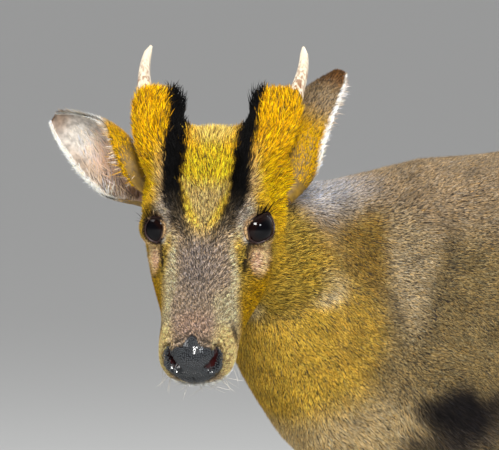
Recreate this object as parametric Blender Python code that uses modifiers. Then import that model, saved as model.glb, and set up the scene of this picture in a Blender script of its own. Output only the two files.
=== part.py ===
"""A life-size Chinese muntjac buck, standing with a lowered neck and its head turned to its left.

Lengths are metres. The body frame has its floor at z = 0, the animal faces -Y and its left is +X.
All sizes are outer sizes, out to the tips of the coat.
"""

import math

import bmesh
import bpy
import numpy as np
from mathutils import Matrix, Vector

NAME = "muntjac"

# Driving sizes
WITHERS_HEIGHT = 0.464
RUMP_HEIGHT = 0.500
EYE_CENTRE = Vector((0.050, -0.205, 0.428))
HEAD_TURN = math.radians(47)
HEAD_PITCH = math.radians(33)
EYE_RADIUS = 0.0133
EYE = Vector((0.0322, 0.000, 0.0015))
EAR_LENGTH = 0.0895
EAR_THICKNESS = 0.0030
EAR_BEND = 0.0056
# How deep the ear's cup is for its width
EAR_DEPTH = 0.72
GAP = 0.0004

# Mesh sizes
VOXEL = 0.003
SMOOTH_STEPS = 8
HEAD_TRIANGLES = 1900
BODY_TRIANGLES = 2300
SIDES = 28
HEAD_MIDDLE = Vector((0, -0.005, -0.010))
HEAD_REACH = 0.130

# The head's own frame has its origin midway between the eyes, with the nose towards -Y.
HEAD_ROTATION = Matrix.Rotation(HEAD_TURN, 4, "Z") @ Matrix.Rotation(HEAD_PITCH, 4, "X")
HEAD = Matrix.Translation(EYE_CENTRE) @ HEAD_ROTATION

# Trunk sections: y, x, top, bottom, half width, height of the widest place
TRUNK = (
    (-0.104, 0.000, 0.360, 0.276, 0.022, 0.318),
    (-0.092, 0.000, 0.405, 0.260, 0.041, 0.326),
    (-0.055, 0.000, 0.447, 0.250, 0.056, 0.336),
    (0.000, 0.000, WITHERS_HEIGHT, 0.247, 0.067, 0.345),
    (0.070, 0.000, 0.467, 0.246, 0.077, 0.350),
    (0.150, 0.000, 0.473, 0.250, 0.084, 0.352),
    (0.230, 0.000, 0.486, 0.262, 0.085, 0.365),
    (0.310, 0.000, RUMP_HEIGHT - 0.002, 0.284, 0.078, 0.390),
    (0.370, 0.000, RUMP_HEIGHT - 0.001, 0.306, 0.070, 0.408),
    (0.415, 0.000, 0.487, 0.326, 0.056, 0.412),
    (0.445, 0.000, 0.466, 0.350, 0.042, 0.412),
    (0.458, 0.000, 0.440, 0.380, 0.024, 0.411),
)

# Neck sections, likewise
NECK = (
    (0.030, 0.000, 0.445, 0.262, 0.058, 0.345),
    (-0.025, 0.000, 0.459, 0.252, 0.062, 0.345),
    (-0.065, 0.001, 0.455, 0.250, 0.060, 0.348),
    (-0.095, 0.003, 0.454, 0.262, 0.056, 0.355),
    (-0.117, 0.006, 0.453, 0.287, 0.052, 0.366),
    (-0.138, 0.010, 0.453, 0.316, 0.048, 0.382),
    (-0.156, 0.014, 0.458, 0.344, 0.045, 0.400),
    (-0.172, 0.020, 0.460, 0.372, 0.038, 0.415),
    (-0.185, 0.026, 0.446, 0.396, 0.026, 0.420),
)

# Head sections in its own frame, likewise
HEAD_SECTIONS = (
    (-0.1045, 0, -0.0240, -0.0480, 0.0120, -0.037),
    (-0.1010, 0, -0.0185, -0.0560, 0.0200, -0.040),
    (-0.0930, 0, -0.0135, -0.0625, 0.0255, -0.041),
    (-0.0820, 0, -0.0085, -0.0665, 0.0275, -0.041),
    (-0.0660, 0, -0.0020, -0.0665, 0.0275, -0.039),
    (-0.0480, 0, 0.0060, -0.0660, 0.0300, -0.036),
    (-0.0300, 0, 0.0120, -0.0670, 0.0355, -0.033),
    (-0.0140, 0, 0.0180, -0.0690, 0.0410, -0.029),
    (0.0000, 0, 0.0230, -0.0710, 0.0445, -0.023),
    (0.0150, 0, 0.0290, -0.0730, 0.0480, -0.017),
    (0.0300, 0, 0.0350, -0.0700, 0.0505, -0.010),
    (0.0450, 0, 0.0400, -0.0620, 0.0490, -0.004),
    (0.0600, 0, 0.0420, -0.0480, 0.0430, 0.000),
    (0.0720, 0, 0.0340, -0.0300, 0.0320, 0.002),
    (0.0790, 0, 0.0160, -0.0120, 0.0180, 0.003),
)

# One side's pedicle in the head's frame, with its ridge down the forehead: x, y, z, half
# width, half depth
PEDICLE = (
    (0.0080, -0.0320, 0.0080, 0.0045, 0.0040),
    (0.0150, -0.0120, 0.0150, 0.0070, 0.0065),
    (0.0230, 0.0080, 0.0220, 0.0115, 0.0100),
    (0.0310, 0.0320, 0.0300, 0.0165, 0.0140),
    (0.0375, 0.0580, 0.0360, 0.0190, 0.0165),
    (0.0410, 0.0770, 0.0405, 0.0193, 0.0172),
    (0.0400, 0.0880, 0.0440, 0.0182, 0.0160),
    (0.0390, 0.0940, 0.0460, 0.0110, 0.0095),
    (0.0385, 0.0955, 0.0465, 0.0030, 0.0030),
)

# One side's antler: x, y, z, half width, half depth
ANTLER = (
    (0.0490, 0.0760, 0.0370, 0.0075, 0.0075),
    (0.0505, 0.0880, 0.0410, 0.0072, 0.0072),
    (0.0525, 0.0980, 0.0450, 0.0053, 0.0051),
    (0.0540, 0.1080, 0.0490, 0.0043, 0.0041),
    (0.0542, 0.1190, 0.0530, 0.0034, 0.0032),
    (0.0530, 0.1275, 0.0560, 0.0024, 0.0022),
    (0.0518, 0.1310, 0.0575, 0.0010, 0.0010),
)
# How far each tip stands further out than in the table
ANTLER_LEAN = {"left": 0.0035, "right": -0.0010}

# An ear across its length: place from base to tip, radius, half curl in degrees, and how far
# its inner edge is curled over, in degrees
EAR_SECTIONS = (
    (0.00, 0.0125, 162, 24),
    (0.15, 0.0180, 136, 30),
    (0.35, 0.0230, 104, 31),
    (0.50, 0.0230, 88, 22),
    (0.65, 0.0198, 76, 12),
    (0.80, 0.0150, 66, 6),
    (0.92, 0.0098, 60, 2),
    (1.00, 0.0042, 56, 0),
)

# Each ear in the head's frame: base, direction to the tip, direction that the cup opens to,
# bow of its middle
EARS = {
    "left": (
        (0.045, 0.052, 0.003),
        (0.390, 0.820, 0.418),
        (0.42, 0.64, -0.52),
        (-0.0075, 0.0001, 0.0018),
    ),
    "right": (
        (-0.045, 0.052, -0.007),
        (-0.809, 0.508, 0.297),
        (-0.10, -0.80, 0.44),
        (0.0, 0.0, 0.0),
    ),
}

# Legs on the left side: x, y, z, half width, half depth
FORELEG = (
    (0.036, 0.022, 0.395, 0.018, 0.030),
    (0.042, 0.000, 0.350, 0.026, 0.042),
    (0.047, -0.006, 0.312, 0.027, 0.042),
    (0.049, 0.012, 0.278, 0.023, 0.034),
    (0.049, 0.020, 0.250, 0.018, 0.025),
    (0.048, 0.015, 0.215, 0.0138, 0.0175),
    (0.047, 0.009, 0.180, 0.0115, 0.0132),
    (0.047, 0.005, 0.154, 0.0125, 0.0140),
    (0.047, 0.006, 0.132, 0.0100, 0.0112),
    (0.047, 0.006, 0.092, 0.0088, 0.0100),
    (0.047, 0.006, 0.060, 0.0100, 0.0118),
    (0.047, 0.004, 0.046, 0.0116, 0.0132),
    (0.047, -0.004, 0.030, 0.0104, 0.0108),
    (0.047, -0.010, 0.017, 0.0096, 0.0110),
    (0.047, -0.012, 0.011, 0.0060, 0.0070),
)
HINDLEG = (
    (0.034, 0.372, 0.455, 0.022, 0.040),
    (0.044, 0.366, 0.415, 0.033, 0.064),
    (0.050, 0.352, 0.368, 0.034, 0.068),
    (0.052, 0.336, 0.326, 0.030, 0.056),
    (0.052, 0.334, 0.292, 0.024, 0.041),
    (0.051, 0.352, 0.262, 0.0185, 0.027),
    (0.050, 0.380, 0.234, 0.0140, 0.0175),
    (0.050, 0.402, 0.212, 0.0120, 0.0150),
    (0.050, 0.413, 0.192, 0.0125, 0.0175),
    (0.050, 0.413, 0.168, 0.0105, 0.0135),
    (0.050, 0.409, 0.125, 0.0090, 0.0108),
    (0.050, 0.405, 0.072, 0.0098, 0.0115),
    (0.050, 0.402, 0.050, 0.0116, 0.0135),
    (0.050, 0.394, 0.032, 0.0104, 0.0108),
    (0.050, 0.388, 0.018, 0.0096, 0.0110),
    (0.050, 0.386, 0.011, 0.0060, 0.0070),
)
TAIL = (
    (0.0, 0.420, 0.464, 0.014, 0.012),
    (0.0, 0.446, 0.466, 0.015, 0.011),
    (0.0, 0.466, 0.456, 0.017, 0.010),
    (0.0, 0.476, 0.434, 0.021, 0.010),
    (0.0, 0.478, 0.400, 0.023, 0.011),
    (0.0, 0.474, 0.364, 0.020, 0.010),
    (0.0, 0.467, 0.337, 0.009, 0.006),
    (0.0, 0.465, 0.329, 0.003, 0.003),
)

# How far each foot stands before or behind its place in the tables, for a natural stance
FEET = {
    "foreleg_left": -0.022,
    "foreleg_right": 0.018,
    "hindleg_left": -0.026,
    "hindleg_right": 0.020,
}
LEG_TABLES = {"foreleg": FORELEG, "hindleg": HINDLEG}
SHIFT_FROM_HEIGHT = 0.300  # a leg's shift grows from nothing here to its full size at the floor

# Rounded masses added to the left side and mirrored: centre, radii, turn about X in degrees
BODY_MASSES = (
    ((0.034, -0.004, 0.376), (0.034, 0.046, 0.074), 14),
    ((0.043, 0.362, 0.398), (0.040, 0.068, 0.084), -14),
)
HEAD_MASSES = (
    ((0.0335, 0.006, 0.0150), (0.0130, 0.0180, 0.0095), -8),
    ((0.0300, 0.030, -0.0340), (0.0180, 0.0340, 0.0300), 20),
    ((0.0170, -0.0860, -0.0420), (0.0100, 0.0150, 0.0150), 0),
    ((0.0420, 0.0550, 0.0020), (0.0150, 0.0170, 0.0160), 0),
)

# Hollows pressed into the left side of the head and mirrored: centre, radius, push
HOLLOWS = (
    ((0.0400, -0.0080, 0.0010), 0.0130, (-0.0046, 0.0010, -0.0010)),
    ((0.0350, -0.0260, -0.0060), 0.0120, (-0.0022, 0.0000, -0.0010)),
    ((0.0120, -0.1010, -0.0290), 0.0060, (-0.0010, 0.0030, 0.0000)),
)

# Hoof sections: height, half width, half length, how far the middle lies behind the toe's middle
HOOF = (
    (0.0000, 0.0056, 0.0150, 0.0000),
    (0.0015, 0.0058, 0.0152, 0.0004),
    (0.0080, 0.0056, 0.0132, 0.0028),
    (0.0150, 0.0052, 0.0108, 0.0058),
    (0.0210, 0.0046, 0.0080, 0.0086),
    (0.0240, 0.0030, 0.0050, 0.0096),
)
HOOF_SPACING = 0.0124
HOOF_POINT = 0.45  # how much narrower the hoof is at its toe
HOOF_LEAD = {"foreleg": 0.018, "hindleg": 0.018}
DEWCLAW_HEIGHT = 0.043
DEWCLAW_SPACING = 0.0130
DEWCLAW_LENGTH = 0.014
DEWCLAW_RADIUS = 0.0036

# Thin cuts: a point on the plane, its normal, and how far from the point the plane reaches
NOSE_CUT = (HEAD @ Vector((0, -0.0975, -0.034)), HEAD.to_3x3() @ Vector((0, -1, -0.07)), 0.045)
HEAD_CUT = (HEAD @ Vector((0, 0.066, -0.016)), HEAD.to_3x3() @ Vector((0, 1, -0.70)), 0.170)
NECK_CUT = (Vector((0, -0.060, 0.365)), Vector((0, 1, -0.12)), 0.170)
TAIL_CUT = (Vector((0, 0.4605, 0.458)), Vector((0, 1, 0)), 0.045)
PEDICLE_CUT = (Vector((0.038, 0.066, 0.042)), Vector((0, 0.55, 0.83)), 0.038)
LEG_CUTS = {
    "foreleg": ((0.238, 0.045), (0.154, 0.034)),
    "hindleg": ((0.266, 0.052), (0.196, 0.036)),
}

COLOURS = {
    "coat": (0.28, 0.18, 0.08),
    "dark_coat": (0.06, 0.045, 0.035),
    "gold_coat": (0.62, 0.32, 0.04),
    "ear": (0.55, 0.42, 0.34),
    "nose": (0.02, 0.022, 0.028),
    "eye": (0.012, 0.006, 0.004),
    "antler": (0.72, 0.62, 0.46),
    "hoof": (0.03, 0.025, 0.022),
}
ROUGHNESS = {"nose": 0.25, "eye": 0.05, "antler": 0.45, "hoof": 0.40}


def clear_scene():
    for obj in list(bpy.data.objects):
        bpy.data.objects.remove(obj, do_unlink=True)


def material(name):
    found = bpy.data.materials.get(name)
    if found:
        return found
    made = bpy.data.materials.new(name)
    made.use_nodes = True
    shader = made.node_tree.nodes["Principled BSDF"]
    shader.inputs["Base Color"].default_value = (*COLOURS[name], 1)
    shader.inputs["Roughness"].default_value = ROUGHNESS.get(name, 0.85)
    shader.inputs["Metallic"].default_value = 0.0
    return made


def smooth_rows(rows, count, columns):
    """A table's rows at even steps, on a smooth curve measured over the first columns."""
    rows = np.array(rows, float)
    steps = np.linalg.norm(np.diff(rows[:, :columns], axis=0), axis=1)
    place = np.concatenate([[0], np.cumsum(steps)])
    slope = np.gradient(rows, place, axis=0)
    wanted = np.linspace(0, place[-1], count)
    start = np.clip(np.searchsorted(place, wanted, side="right") - 1, 0, len(place) - 2)
    width = (place[start + 1] - place[start])[:, None]
    t = ((wanted - place[start])[:, None]) / width
    return (
        (2 * t**3 - 3 * t**2 + 1) * rows[start]
        + (t**3 - 2 * t**2 + t) * width * slope[start]
        + (3 * t**2 - 2 * t**3) * rows[start + 1]
        + (t**3 - t**2) * width * slope[start + 1]
    )


def rounded(angles, square):
    """Points of a superellipse at these angles: 2 is an ellipse, and more is squarer."""
    c, s = np.cos(angles), np.sin(angles)
    return np.sign(c) * np.abs(c) ** (2 / square), np.sign(s) * np.abs(s) ** (2 / square)


def section_rings(rows, count, square=2.3):
    """Rings that stand across Y, from rows of y, x, top, bottom, half width and widest height."""
    across, up = rounded(np.linspace(0, 2 * math.pi, SIDES, endpoint=False), square)
    rings = []
    for y, x, top, bottom, half, middle in smooth_rows(rows, count, 1):
        z = middle + np.where(up > 0, (top - middle) * up, (middle - bottom) * up)
        rings.append(np.stack([x + half * across, np.full(SIDES, y), z], axis=1))
    return rings


def tube_rings(rows, count, square=2.0, sides=SIDES, reference=(1, 0, 0)):
    """Rings square to a path; a row is x, y, z, half width along the reference, half depth."""
    across, up = rounded(np.linspace(0, 2 * math.pi, sides, endpoint=False), square)
    rows = smooth_rows(rows, count, 3)
    ahead = np.gradient(rows[:, :3], axis=0)
    rings = []
    for row, direction in zip(rows, ahead):
        direction = direction / np.linalg.norm(direction)
        side = np.array(reference) - np.dot(reference, direction) * direction
        side = side / np.linalg.norm(side)
        normal = np.cross(direction, side)
        rings.append(row[:3] + np.outer(row[3] * across, side) + np.outer(row[4] * up, normal))
    return rings


def add_loft(bm, rings, matrix=Matrix.Identity(4), mirror=False):
    """Adds a closed skin over the rings, capped at both ends."""
    flip = Matrix.Scale(-1, 4, (1, 0, 0)) if mirror else Matrix.Identity(4)
    grid = [[bm.verts.new(matrix @ flip @ Vector(point)) for point in ring] for ring in rings]
    faces = [bm.faces.new(reversed(grid[0])), bm.faces.new(grid[-1])]
    for lower, upper in zip(grid, grid[1:]):
        for i in range(len(lower)):
            j = (i + 1) % len(lower)
            faces.append(bm.faces.new((lower[i], lower[j], upper[j], upper[i])))
    bmesh.ops.recalc_face_normals(bm, faces=faces)


def add_ellipsoid(bm, centre, radii, turn, matrix=Matrix.Identity(4), side=1):
    place = Matrix.Translation((side * centre[0], centre[1], centre[2]))
    shape = place @ Matrix.Rotation(math.radians(turn), 4, "X") @ Matrix.Diagonal((*radii, 1))
    bmesh.ops.create_uvsphere(bm, u_segments=28, v_segments=18, radius=1, matrix=matrix @ shape)


def mesh_object(name, bm, coating, collection):
    mesh = bpy.data.meshes.new(name)
    bm.to_mesh(mesh)
    bm.free()
    mesh.materials.append(material(coating))
    mesh.shade_smooth()
    mesh.set_sharp_from_angle(angle=math.radians(50))
    obj = bpy.data.objects.new(name, mesh)
    collection.objects.link(obj)
    return obj


def leg_rows(name):
    """The table of one leg, mirrored for the right side, with its foot moved for the stance."""
    kind, side = name.split("_")
    rows = np.array(LEG_TABLES[kind], float)
    share = np.clip((SHIFT_FROM_HEIGHT - rows[:, 2]) / SHIFT_FROM_HEIGHT, 0, 1)
    rows[:, 1] += share * FEET[name]
    if side == "right":
        rows[:, 0] *= -1
    return rows


def build_flesh(collection):
    """The whole body as one smooth surface: lofts and rounded masses, fused by a voxel remesh."""
    bm = bmesh.new()
    add_loft(bm, section_rings(TRUNK, 44))
    add_loft(bm, section_rings(NECK, 30, square=2.15))
    add_loft(bm, section_rings(HEAD_SECTIONS, 44, square=2.25), HEAD)
    add_loft(bm, tube_rings(TAIL, 20))
    for name in FEET:
        add_loft(bm, tube_rings(leg_rows(name), 60))
    for side in (1, -1):
        add_loft(bm, tube_rings(PEDICLE, 30), HEAD, mirror=side < 0)
        for mass in BODY_MASSES:
            add_ellipsoid(bm, *mass, side=side)
        for mass in HEAD_MASSES:
            add_ellipsoid(bm, *mass, matrix=HEAD, side=side)
    flesh = mesh_object("flesh", bm, "coat", collection)
    remesh = flesh.modifiers.new("Fuse", "REMESH")
    remesh.mode = "VOXEL"
    remesh.voxel_size = VOXEL
    smooth = flesh.modifiers.new("Soften", "SMOOTH")
    smooth.factor = 0.5
    smooth.iterations = SMOOTH_STEPS
    return flesh


def evaluated_mesh(obj):
    graph = bpy.context.evaluated_depsgraph_get()
    return bpy.data.meshes.new_from_object(obj.evaluated_get(graph))


def press_hollows(mesh):
    """Presses the hollows round the eyes and at the nostrils into both sides of the head."""
    to_head = HEAD.inverted()
    for vertex in mesh.vertices:
        local = to_head @ vertex.co
        for side in (1, -1):
            for centre, radius, push in HOLLOWS:
                away = (Vector((side * local.x, local.y, local.z)) - Vector(centre)).length
                share = math.exp(-((away / radius) ** 2))
                local += share * Vector((side * push[0], push[1], push[2]))
        vertex.co = HEAD @ local


def head_share(point):
    """1 for a point of the head, which keeps smaller triangles, and 0 for one of the body."""
    return 1.0 if (point - HEAD @ HEAD_MIDDLE).length < HEAD_REACH else 0.0


def reduce_faces(flesh, fewer, share):
    """Takes away this many triangles where the share of a vertex is high."""
    mesh = flesh.data
    group = flesh.vertex_groups.new(name="reduced")
    for vertex in mesh.vertices:
        group.add([vertex.index], share(vertex.co), "REPLACE")
    mesh.calc_loop_triangles()
    decimate = flesh.modifiers.new("Thin out", "DECIMATE")
    decimate.ratio = 1 - fewer / len(mesh.loop_triangles)
    decimate.vertex_group = group.name
    decimate.vertex_group_factor = 1000
    decimate.use_collapse_triangulate = True
    flesh.data = evaluated_mesh(flesh)
    flesh.modifiers.clear()
    flesh.vertex_groups.clear()


def thin_out(flesh):
    """Reduces the fused surface to its triangle budgets, one for the head and one for the body."""
    dense = evaluated_mesh(flesh)
    press_hollows(dense)
    flesh.modifiers.clear()
    flesh.data = dense
    dense.calc_loop_triangles()
    shares = [head_share(dense.vertices[t.vertices[0]].co) for t in dense.loop_triangles]
    in_head = int(sum(shares))
    in_body = len(shares) - in_head
    reduce_faces(flesh, in_body - BODY_TRIANGLES, lambda point: 1 - head_share(point))
    reduce_faces(flesh, in_head - HEAD_TRIANGLES, head_share)


def close_loop(bm, edges):
    """Caps one open loop and triangulates the cap."""
    made = bmesh.ops.edgeloop_fill(bm, edges=edges)["faces"]
    bmesh.ops.triangulate(bm, faces=made)


def part_at(bm, point, normal, reach):
    """Parts the surface with a plane within reach of the point, and caps both sides GAP apart."""
    normal = normal.normalized()
    near = {v for v in bm.verts if (v.co - point).length < reach}
    faces = list({f for v in near for f in v.link_faces})
    edges = list({e for f in faces for e in f.edges})
    verts = list({v for f in faces for v in f.verts})
    cut = bmesh.ops.bisect_plane(
        bm, geom=verts + edges + faces, dist=1e-6, plane_co=point, plane_no=normal
    )
    ring = [e for e in cut["geom_cut"] if isinstance(e, bmesh.types.BMEdge)]
    bmesh.ops.split_edges(bm, edges=ring)
    open_edges = [e for e in bm.edges if e.is_boundary]
    for side in (1, -1):
        loop = []
        for edge in open_edges:
            away = edge.link_faces[0].calc_center_median() - point
            if away.dot(normal) * side > 0:
                loop.append(edge)
        for vert in {v for e in loop for v in e.verts}:
            vert.co += normal * side * GAP / 2
        close_loop(bm, loop)


def mirrored(cut):
    point, normal, reach = cut
    flip = Vector((-1, 1, 1))
    return point * flip, normal * flip, reach


def leg_point(name, height):
    """The middle of a leg at a height."""
    rows = smooth_rows(leg_rows(name), 200, 3)
    return Vector(rows[np.argmin(np.abs(rows[:, 2] - height)), :3])


def flesh_cuts():
    """All the cuts, in the body frame."""
    cuts = [NOSE_CUT, HEAD_CUT, NECK_CUT, TAIL_CUT]
    for point, normal, reach in (PEDICLE_CUT, mirrored(PEDICLE_CUT)):
        cuts.append((HEAD @ point, HEAD.to_3x3() @ normal, reach))
    for name in FEET:
        for height, reach in LEG_CUTS[name.split("_")[0]]:
            cuts.append((leg_point(name, height), Vector((0, 0, 1)), reach))
    return cuts


def flesh_names():
    """Where the middle of each fleshy part lies, by name."""
    named = {
        "head": HEAD @ Vector((0, 0, -0.020)),
        "nose": HEAD @ Vector((0, -0.100, -0.030)),
        "neck": Vector((0.006, -0.110, 0.375)),
        "trunk": Vector((0, 0.180, 0.370)),
        "tail": Vector((0, 0.468, 0.385)),
        "pedicle_left": HEAD @ Vector((0.040, 0.080, 0.044)),
        "pedicle_right": HEAD @ Vector((-0.040, 0.080, 0.044)),
    }
    for name in FEET:
        upper, lower = (0.200, 0.080) if name.startswith("fore") else (0.245, 0.100)
        named[name + "_upper"] = leg_point(name, upper)
        named[name + "_lower"] = leg_point(name, lower)
    return named


def islands(bm):
    """The separate pieces of a mesh, as lists of faces."""
    left, found = set(bm.faces), []
    while left:
        queue = [left.pop()]
        piece = list(queue)
        while queue:
            for edge in queue.pop().edges:
                for face in edge.link_faces:
                    if face in left:
                        left.remove(face)
                        queue.append(face)
                        piece.append(face)
        found.append(piece)
    return found


def separate_flesh(flesh, collection):
    """Cuts the flesh and makes one object of each piece, named by where its middle lies."""
    bm = bmesh.new()
    bm.from_mesh(flesh.data)
    for cut in flesh_cuts():
        part_at(bm, *cut)
    named = flesh_names()
    parts = {}
    for faces in islands(bm):
        area = sum(f.calc_area() for f in faces)
        middle = sum((f.calc_center_median() * f.calc_area() for f in faces), Vector()) / area
        name = min(named, key=lambda n: (named[n] - middle).length)
        piece = bmesh.new()
        copies = {v: piece.verts.new(v.co) for v in {v for f in faces for v in f.verts}}
        for face in faces:
            piece.faces.new([copies[v] for v in face.verts])
        coating = "coat"
        if name.startswith("pedicle"):
            coating = "gold_coat"
        elif name == "nose":
            coating = "nose"
        elif name.endswith("_lower"):
            coating = "dark_coat"
        parts[name] = mesh_object(name, piece, coating, collection)
    bm.free()
    return parts


def hide_tool(obj):
    obj.hide_render = True
    obj.display_type = "WIRE"
    return obj


def flesh_clearance(flesh, cutters):
    """The flesh grown by the gap, which cuts the bases of ears, antlers, hooves and dewclaws."""
    cutter = bpy.data.objects.new("flesh_clearance", flesh.data.copy())
    cutters.objects.link(cutter)
    grow = cutter.modifiers.new("Gap", "DISPLACE")
    grow.strength = GAP
    grow.mid_level = 0
    return hide_tool(cutter)


def cut_away(obj, cutter):
    boolean = obj.modifiers.new("Seat", "BOOLEAN")
    boolean.operation = "DIFFERENCE"
    boolean.solver = "EXACT"
    boolean.object = cutter


def eyes(parts, collection, cutters):
    for side, name in ((1, "left"), (-1, "right")):
        centre = HEAD @ Vector((side * EYE.x, EYE.y, EYE.z))
        for radius, group in ((EYE_RADIUS, collection), (EYE_RADIUS + GAP, cutters)):
            ball = bmesh.new()
            turn = HEAD.to_3x3().to_4x4() @ Matrix.Rotation(math.radians(90), 4, "Y")
            place = Matrix.Translation(centre) @ turn
            bmesh.ops.create_uvsphere(
                ball, u_segments=14, v_segments=9, radius=radius, matrix=place
            )
            label = f"eye_{name}" if group is collection else f"socket_{name}"
            made = mesh_object(label, ball, "eye", group)
            if group is cutters:
                cut_away(parts["head"], hide_tool(made))


def ear(name, collection, cutter):
    """A cupped leaf, curled round its length and given its thickness by Solidify."""
    base, along, opening, bow = (Vector(v) for v in EARS[name])
    along.normalize()
    opening = (opening - opening.dot(along) * along).normalized()
    side = along.cross(opening)
    steps, across = 11, 8
    rows = smooth_rows(EAR_SECTIONS, steps, 1)
    bm = bmesh.new()
    grid = []
    for place, radius, curl, over in rows:
        swell = math.sin(math.pi * place)
        middle = base + along * EAR_LENGTH * place + (bow - opening * EAR_BEND) * swell
        ring = []
        for angle in np.radians(np.linspace(over - curl, over + curl, across)):
            depth = EAR_DEPTH * (1 - math.cos(angle))
            offset = (side * math.sin(angle) + opening * depth) * radius
            ring.append(bm.verts.new(HEAD @ (middle + offset)))
        grid.append(ring)
    for lower, upper in zip(grid, grid[1:]):
        for i in range(across - 1):
            bm.faces.new((lower[i], lower[i + 1], upper[i + 1], upper[i]))
    bmesh.ops.recalc_face_normals(bm, faces=bm.faces)
    obj = mesh_object(f"ear_{name}", bm, "ear", collection)
    shell = obj.modifiers.new("Thickness", "SOLIDIFY")
    shell.thickness = EAR_THICKNESS
    shell.offset = 0
    cut_away(obj, cutter)
    return obj


def antler(side, name, collection, cutter):
    rows = np.array(ANTLER)
    rows[:, 0] += ANTLER_LEAN[name] * np.linspace(0, 1, len(rows))
    bm = bmesh.new()
    add_loft(bm, tube_rings(rows, 11, sides=10), HEAD, mirror=side < 0)
    obj = mesh_object(f"antler_{name}", bm, "antler", collection)
    cut_away(obj, cutter)


def hoof_rings(sides=10):
    angles = np.linspace(0, 2 * math.pi, sides, endpoint=False)
    rings = []
    for height, half_width, half_length, back in HOOF:
        toe = np.clip(-np.sin(angles), 0, 1)
        x = half_width * np.cos(angles) * (1 - HOOF_POINT * toe)
        y = half_length * np.sin(angles) + back
        rings.append(np.stack([x, y, np.full(sides, height)], axis=1))
    return rings


def feet(collection, cutter):
    """Two hooves and two dewclaws to each foot."""
    for leg in FEET:
        ankle = leg_point(leg, 0.012)
        fetlock = leg_point(leg, DEWCLAW_HEIGHT)
        for side, place in ((1, "a"), (-1, "b")):
            bm = bmesh.new()
            lead = HOOF_LEAD[leg.split("_")[0]] / 2
            hoof_middle = (ankle.x + side * HOOF_SPACING / 2, ankle.y - lead, 0)
            add_loft(bm, hoof_rings(), Matrix.Translation(hoof_middle))
            hoof = mesh_object(f"{leg}_hoof_{place}", bm, "hoof", collection)
            cut_away(hoof, cutter)
            claw = bmesh.new()
            turn = Matrix.Rotation(math.radians(50), 4, "X")
            root = (fetlock.x + side * DEWCLAW_SPACING / 2, fetlock.y + 0.0115, DEWCLAW_HEIGHT)
            bmesh.ops.create_cone(
                claw,
                cap_ends=True,
                segments=8,
                radius1=DEWCLAW_RADIUS * 0.35,
                radius2=DEWCLAW_RADIUS,
                depth=DEWCLAW_LENGTH,
                matrix=Matrix.Translation(root) @ turn,
            )
            dewclaw = mesh_object(f"{leg}_dewclaw_{place}", claw, "hoof", collection)
            cut_away(dewclaw, cutter)


def stand_on_origin(collection, cutters):
    """Parents all to one empty, moved so that the bottom of the box is centred on the origin."""
    root = bpy.data.objects.new(NAME, None)
    collection.objects.link(root)
    graph = bpy.context.evaluated_depsgraph_get()
    points = []
    for obj in collection.objects:
        if obj.type == "MESH":
            mesh = obj.evaluated_get(graph).to_mesh()
            points += [v.co.copy() for v in mesh.vertices]
            obj.evaluated_get(graph).to_mesh_clear()
    points = np.array(points)
    middle = (points.min(axis=0) + points.max(axis=0)) / 2
    for obj in list(collection.objects) + list(cutters.objects):
        if obj is not root:
            obj.parent = root
    root.location = (-middle[0], -middle[1], 0)


def build():
    clear_scene()
    scene = bpy.context.scene
    collection = bpy.data.collections.new(NAME)
    cutters = bpy.data.collections.new("cutters")
    scene.collection.children.link(collection)
    scene.collection.children.link(cutters)
    flesh = build_flesh(cutters)
    thin_out(flesh)
    hide_tool(flesh)
    cutter = flesh_clearance(flesh, cutters)
    parts = separate_flesh(flesh, collection)
    eyes(parts, collection, cutters)
    for name in EARS:
        ear(name, collection, cutter)
    for side, name in ((1, "left"), (-1, "right")):
        antler(side, name, collection, cutter)
    feet(collection, cutter)
    stand_on_origin(collection, cutters)


build()
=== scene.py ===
"""A life-size museum model of a Chinese muntjac buck that looks over its left shoulder.

One skin replaces the solids of flesh and carries the folds of the face. Tufts of solid hair
lie over it, and smooth balls replace the faceted eyes. The antlers, hooves and dewclaws of
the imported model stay, with finer materials. All lengths are in metres.
"""

import math

import bmesh
import bpy
import numpy as np
from mathutils import Matrix, Vector


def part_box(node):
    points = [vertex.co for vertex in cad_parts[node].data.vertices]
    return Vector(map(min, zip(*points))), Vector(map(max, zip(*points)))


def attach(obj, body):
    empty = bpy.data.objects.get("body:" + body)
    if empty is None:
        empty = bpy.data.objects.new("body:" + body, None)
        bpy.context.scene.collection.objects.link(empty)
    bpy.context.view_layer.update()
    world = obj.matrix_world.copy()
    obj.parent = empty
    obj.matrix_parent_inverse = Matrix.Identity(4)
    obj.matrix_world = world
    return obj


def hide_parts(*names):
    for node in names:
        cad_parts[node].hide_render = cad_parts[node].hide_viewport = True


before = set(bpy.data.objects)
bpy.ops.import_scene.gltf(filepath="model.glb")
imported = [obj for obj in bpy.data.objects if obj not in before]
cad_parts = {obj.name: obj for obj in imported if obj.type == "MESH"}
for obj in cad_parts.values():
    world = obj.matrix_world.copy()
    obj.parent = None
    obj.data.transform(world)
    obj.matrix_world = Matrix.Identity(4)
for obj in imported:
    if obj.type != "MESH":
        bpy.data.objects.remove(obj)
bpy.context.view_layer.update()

SEED = 7
SIDES = {"left": 1.0, "right": -1.0}

# The head's own axes: x to the animal's left, y to the back of the skull, z up from the face.
HEAD_TURN = math.radians(47)
HEAD_PITCH = math.radians(33)
EYE_RISE = 0.0015
EYE_RADIUS = 0.0133
EYE_AT = np.array((0.0322, 0.0, EYE_RISE))
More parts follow.
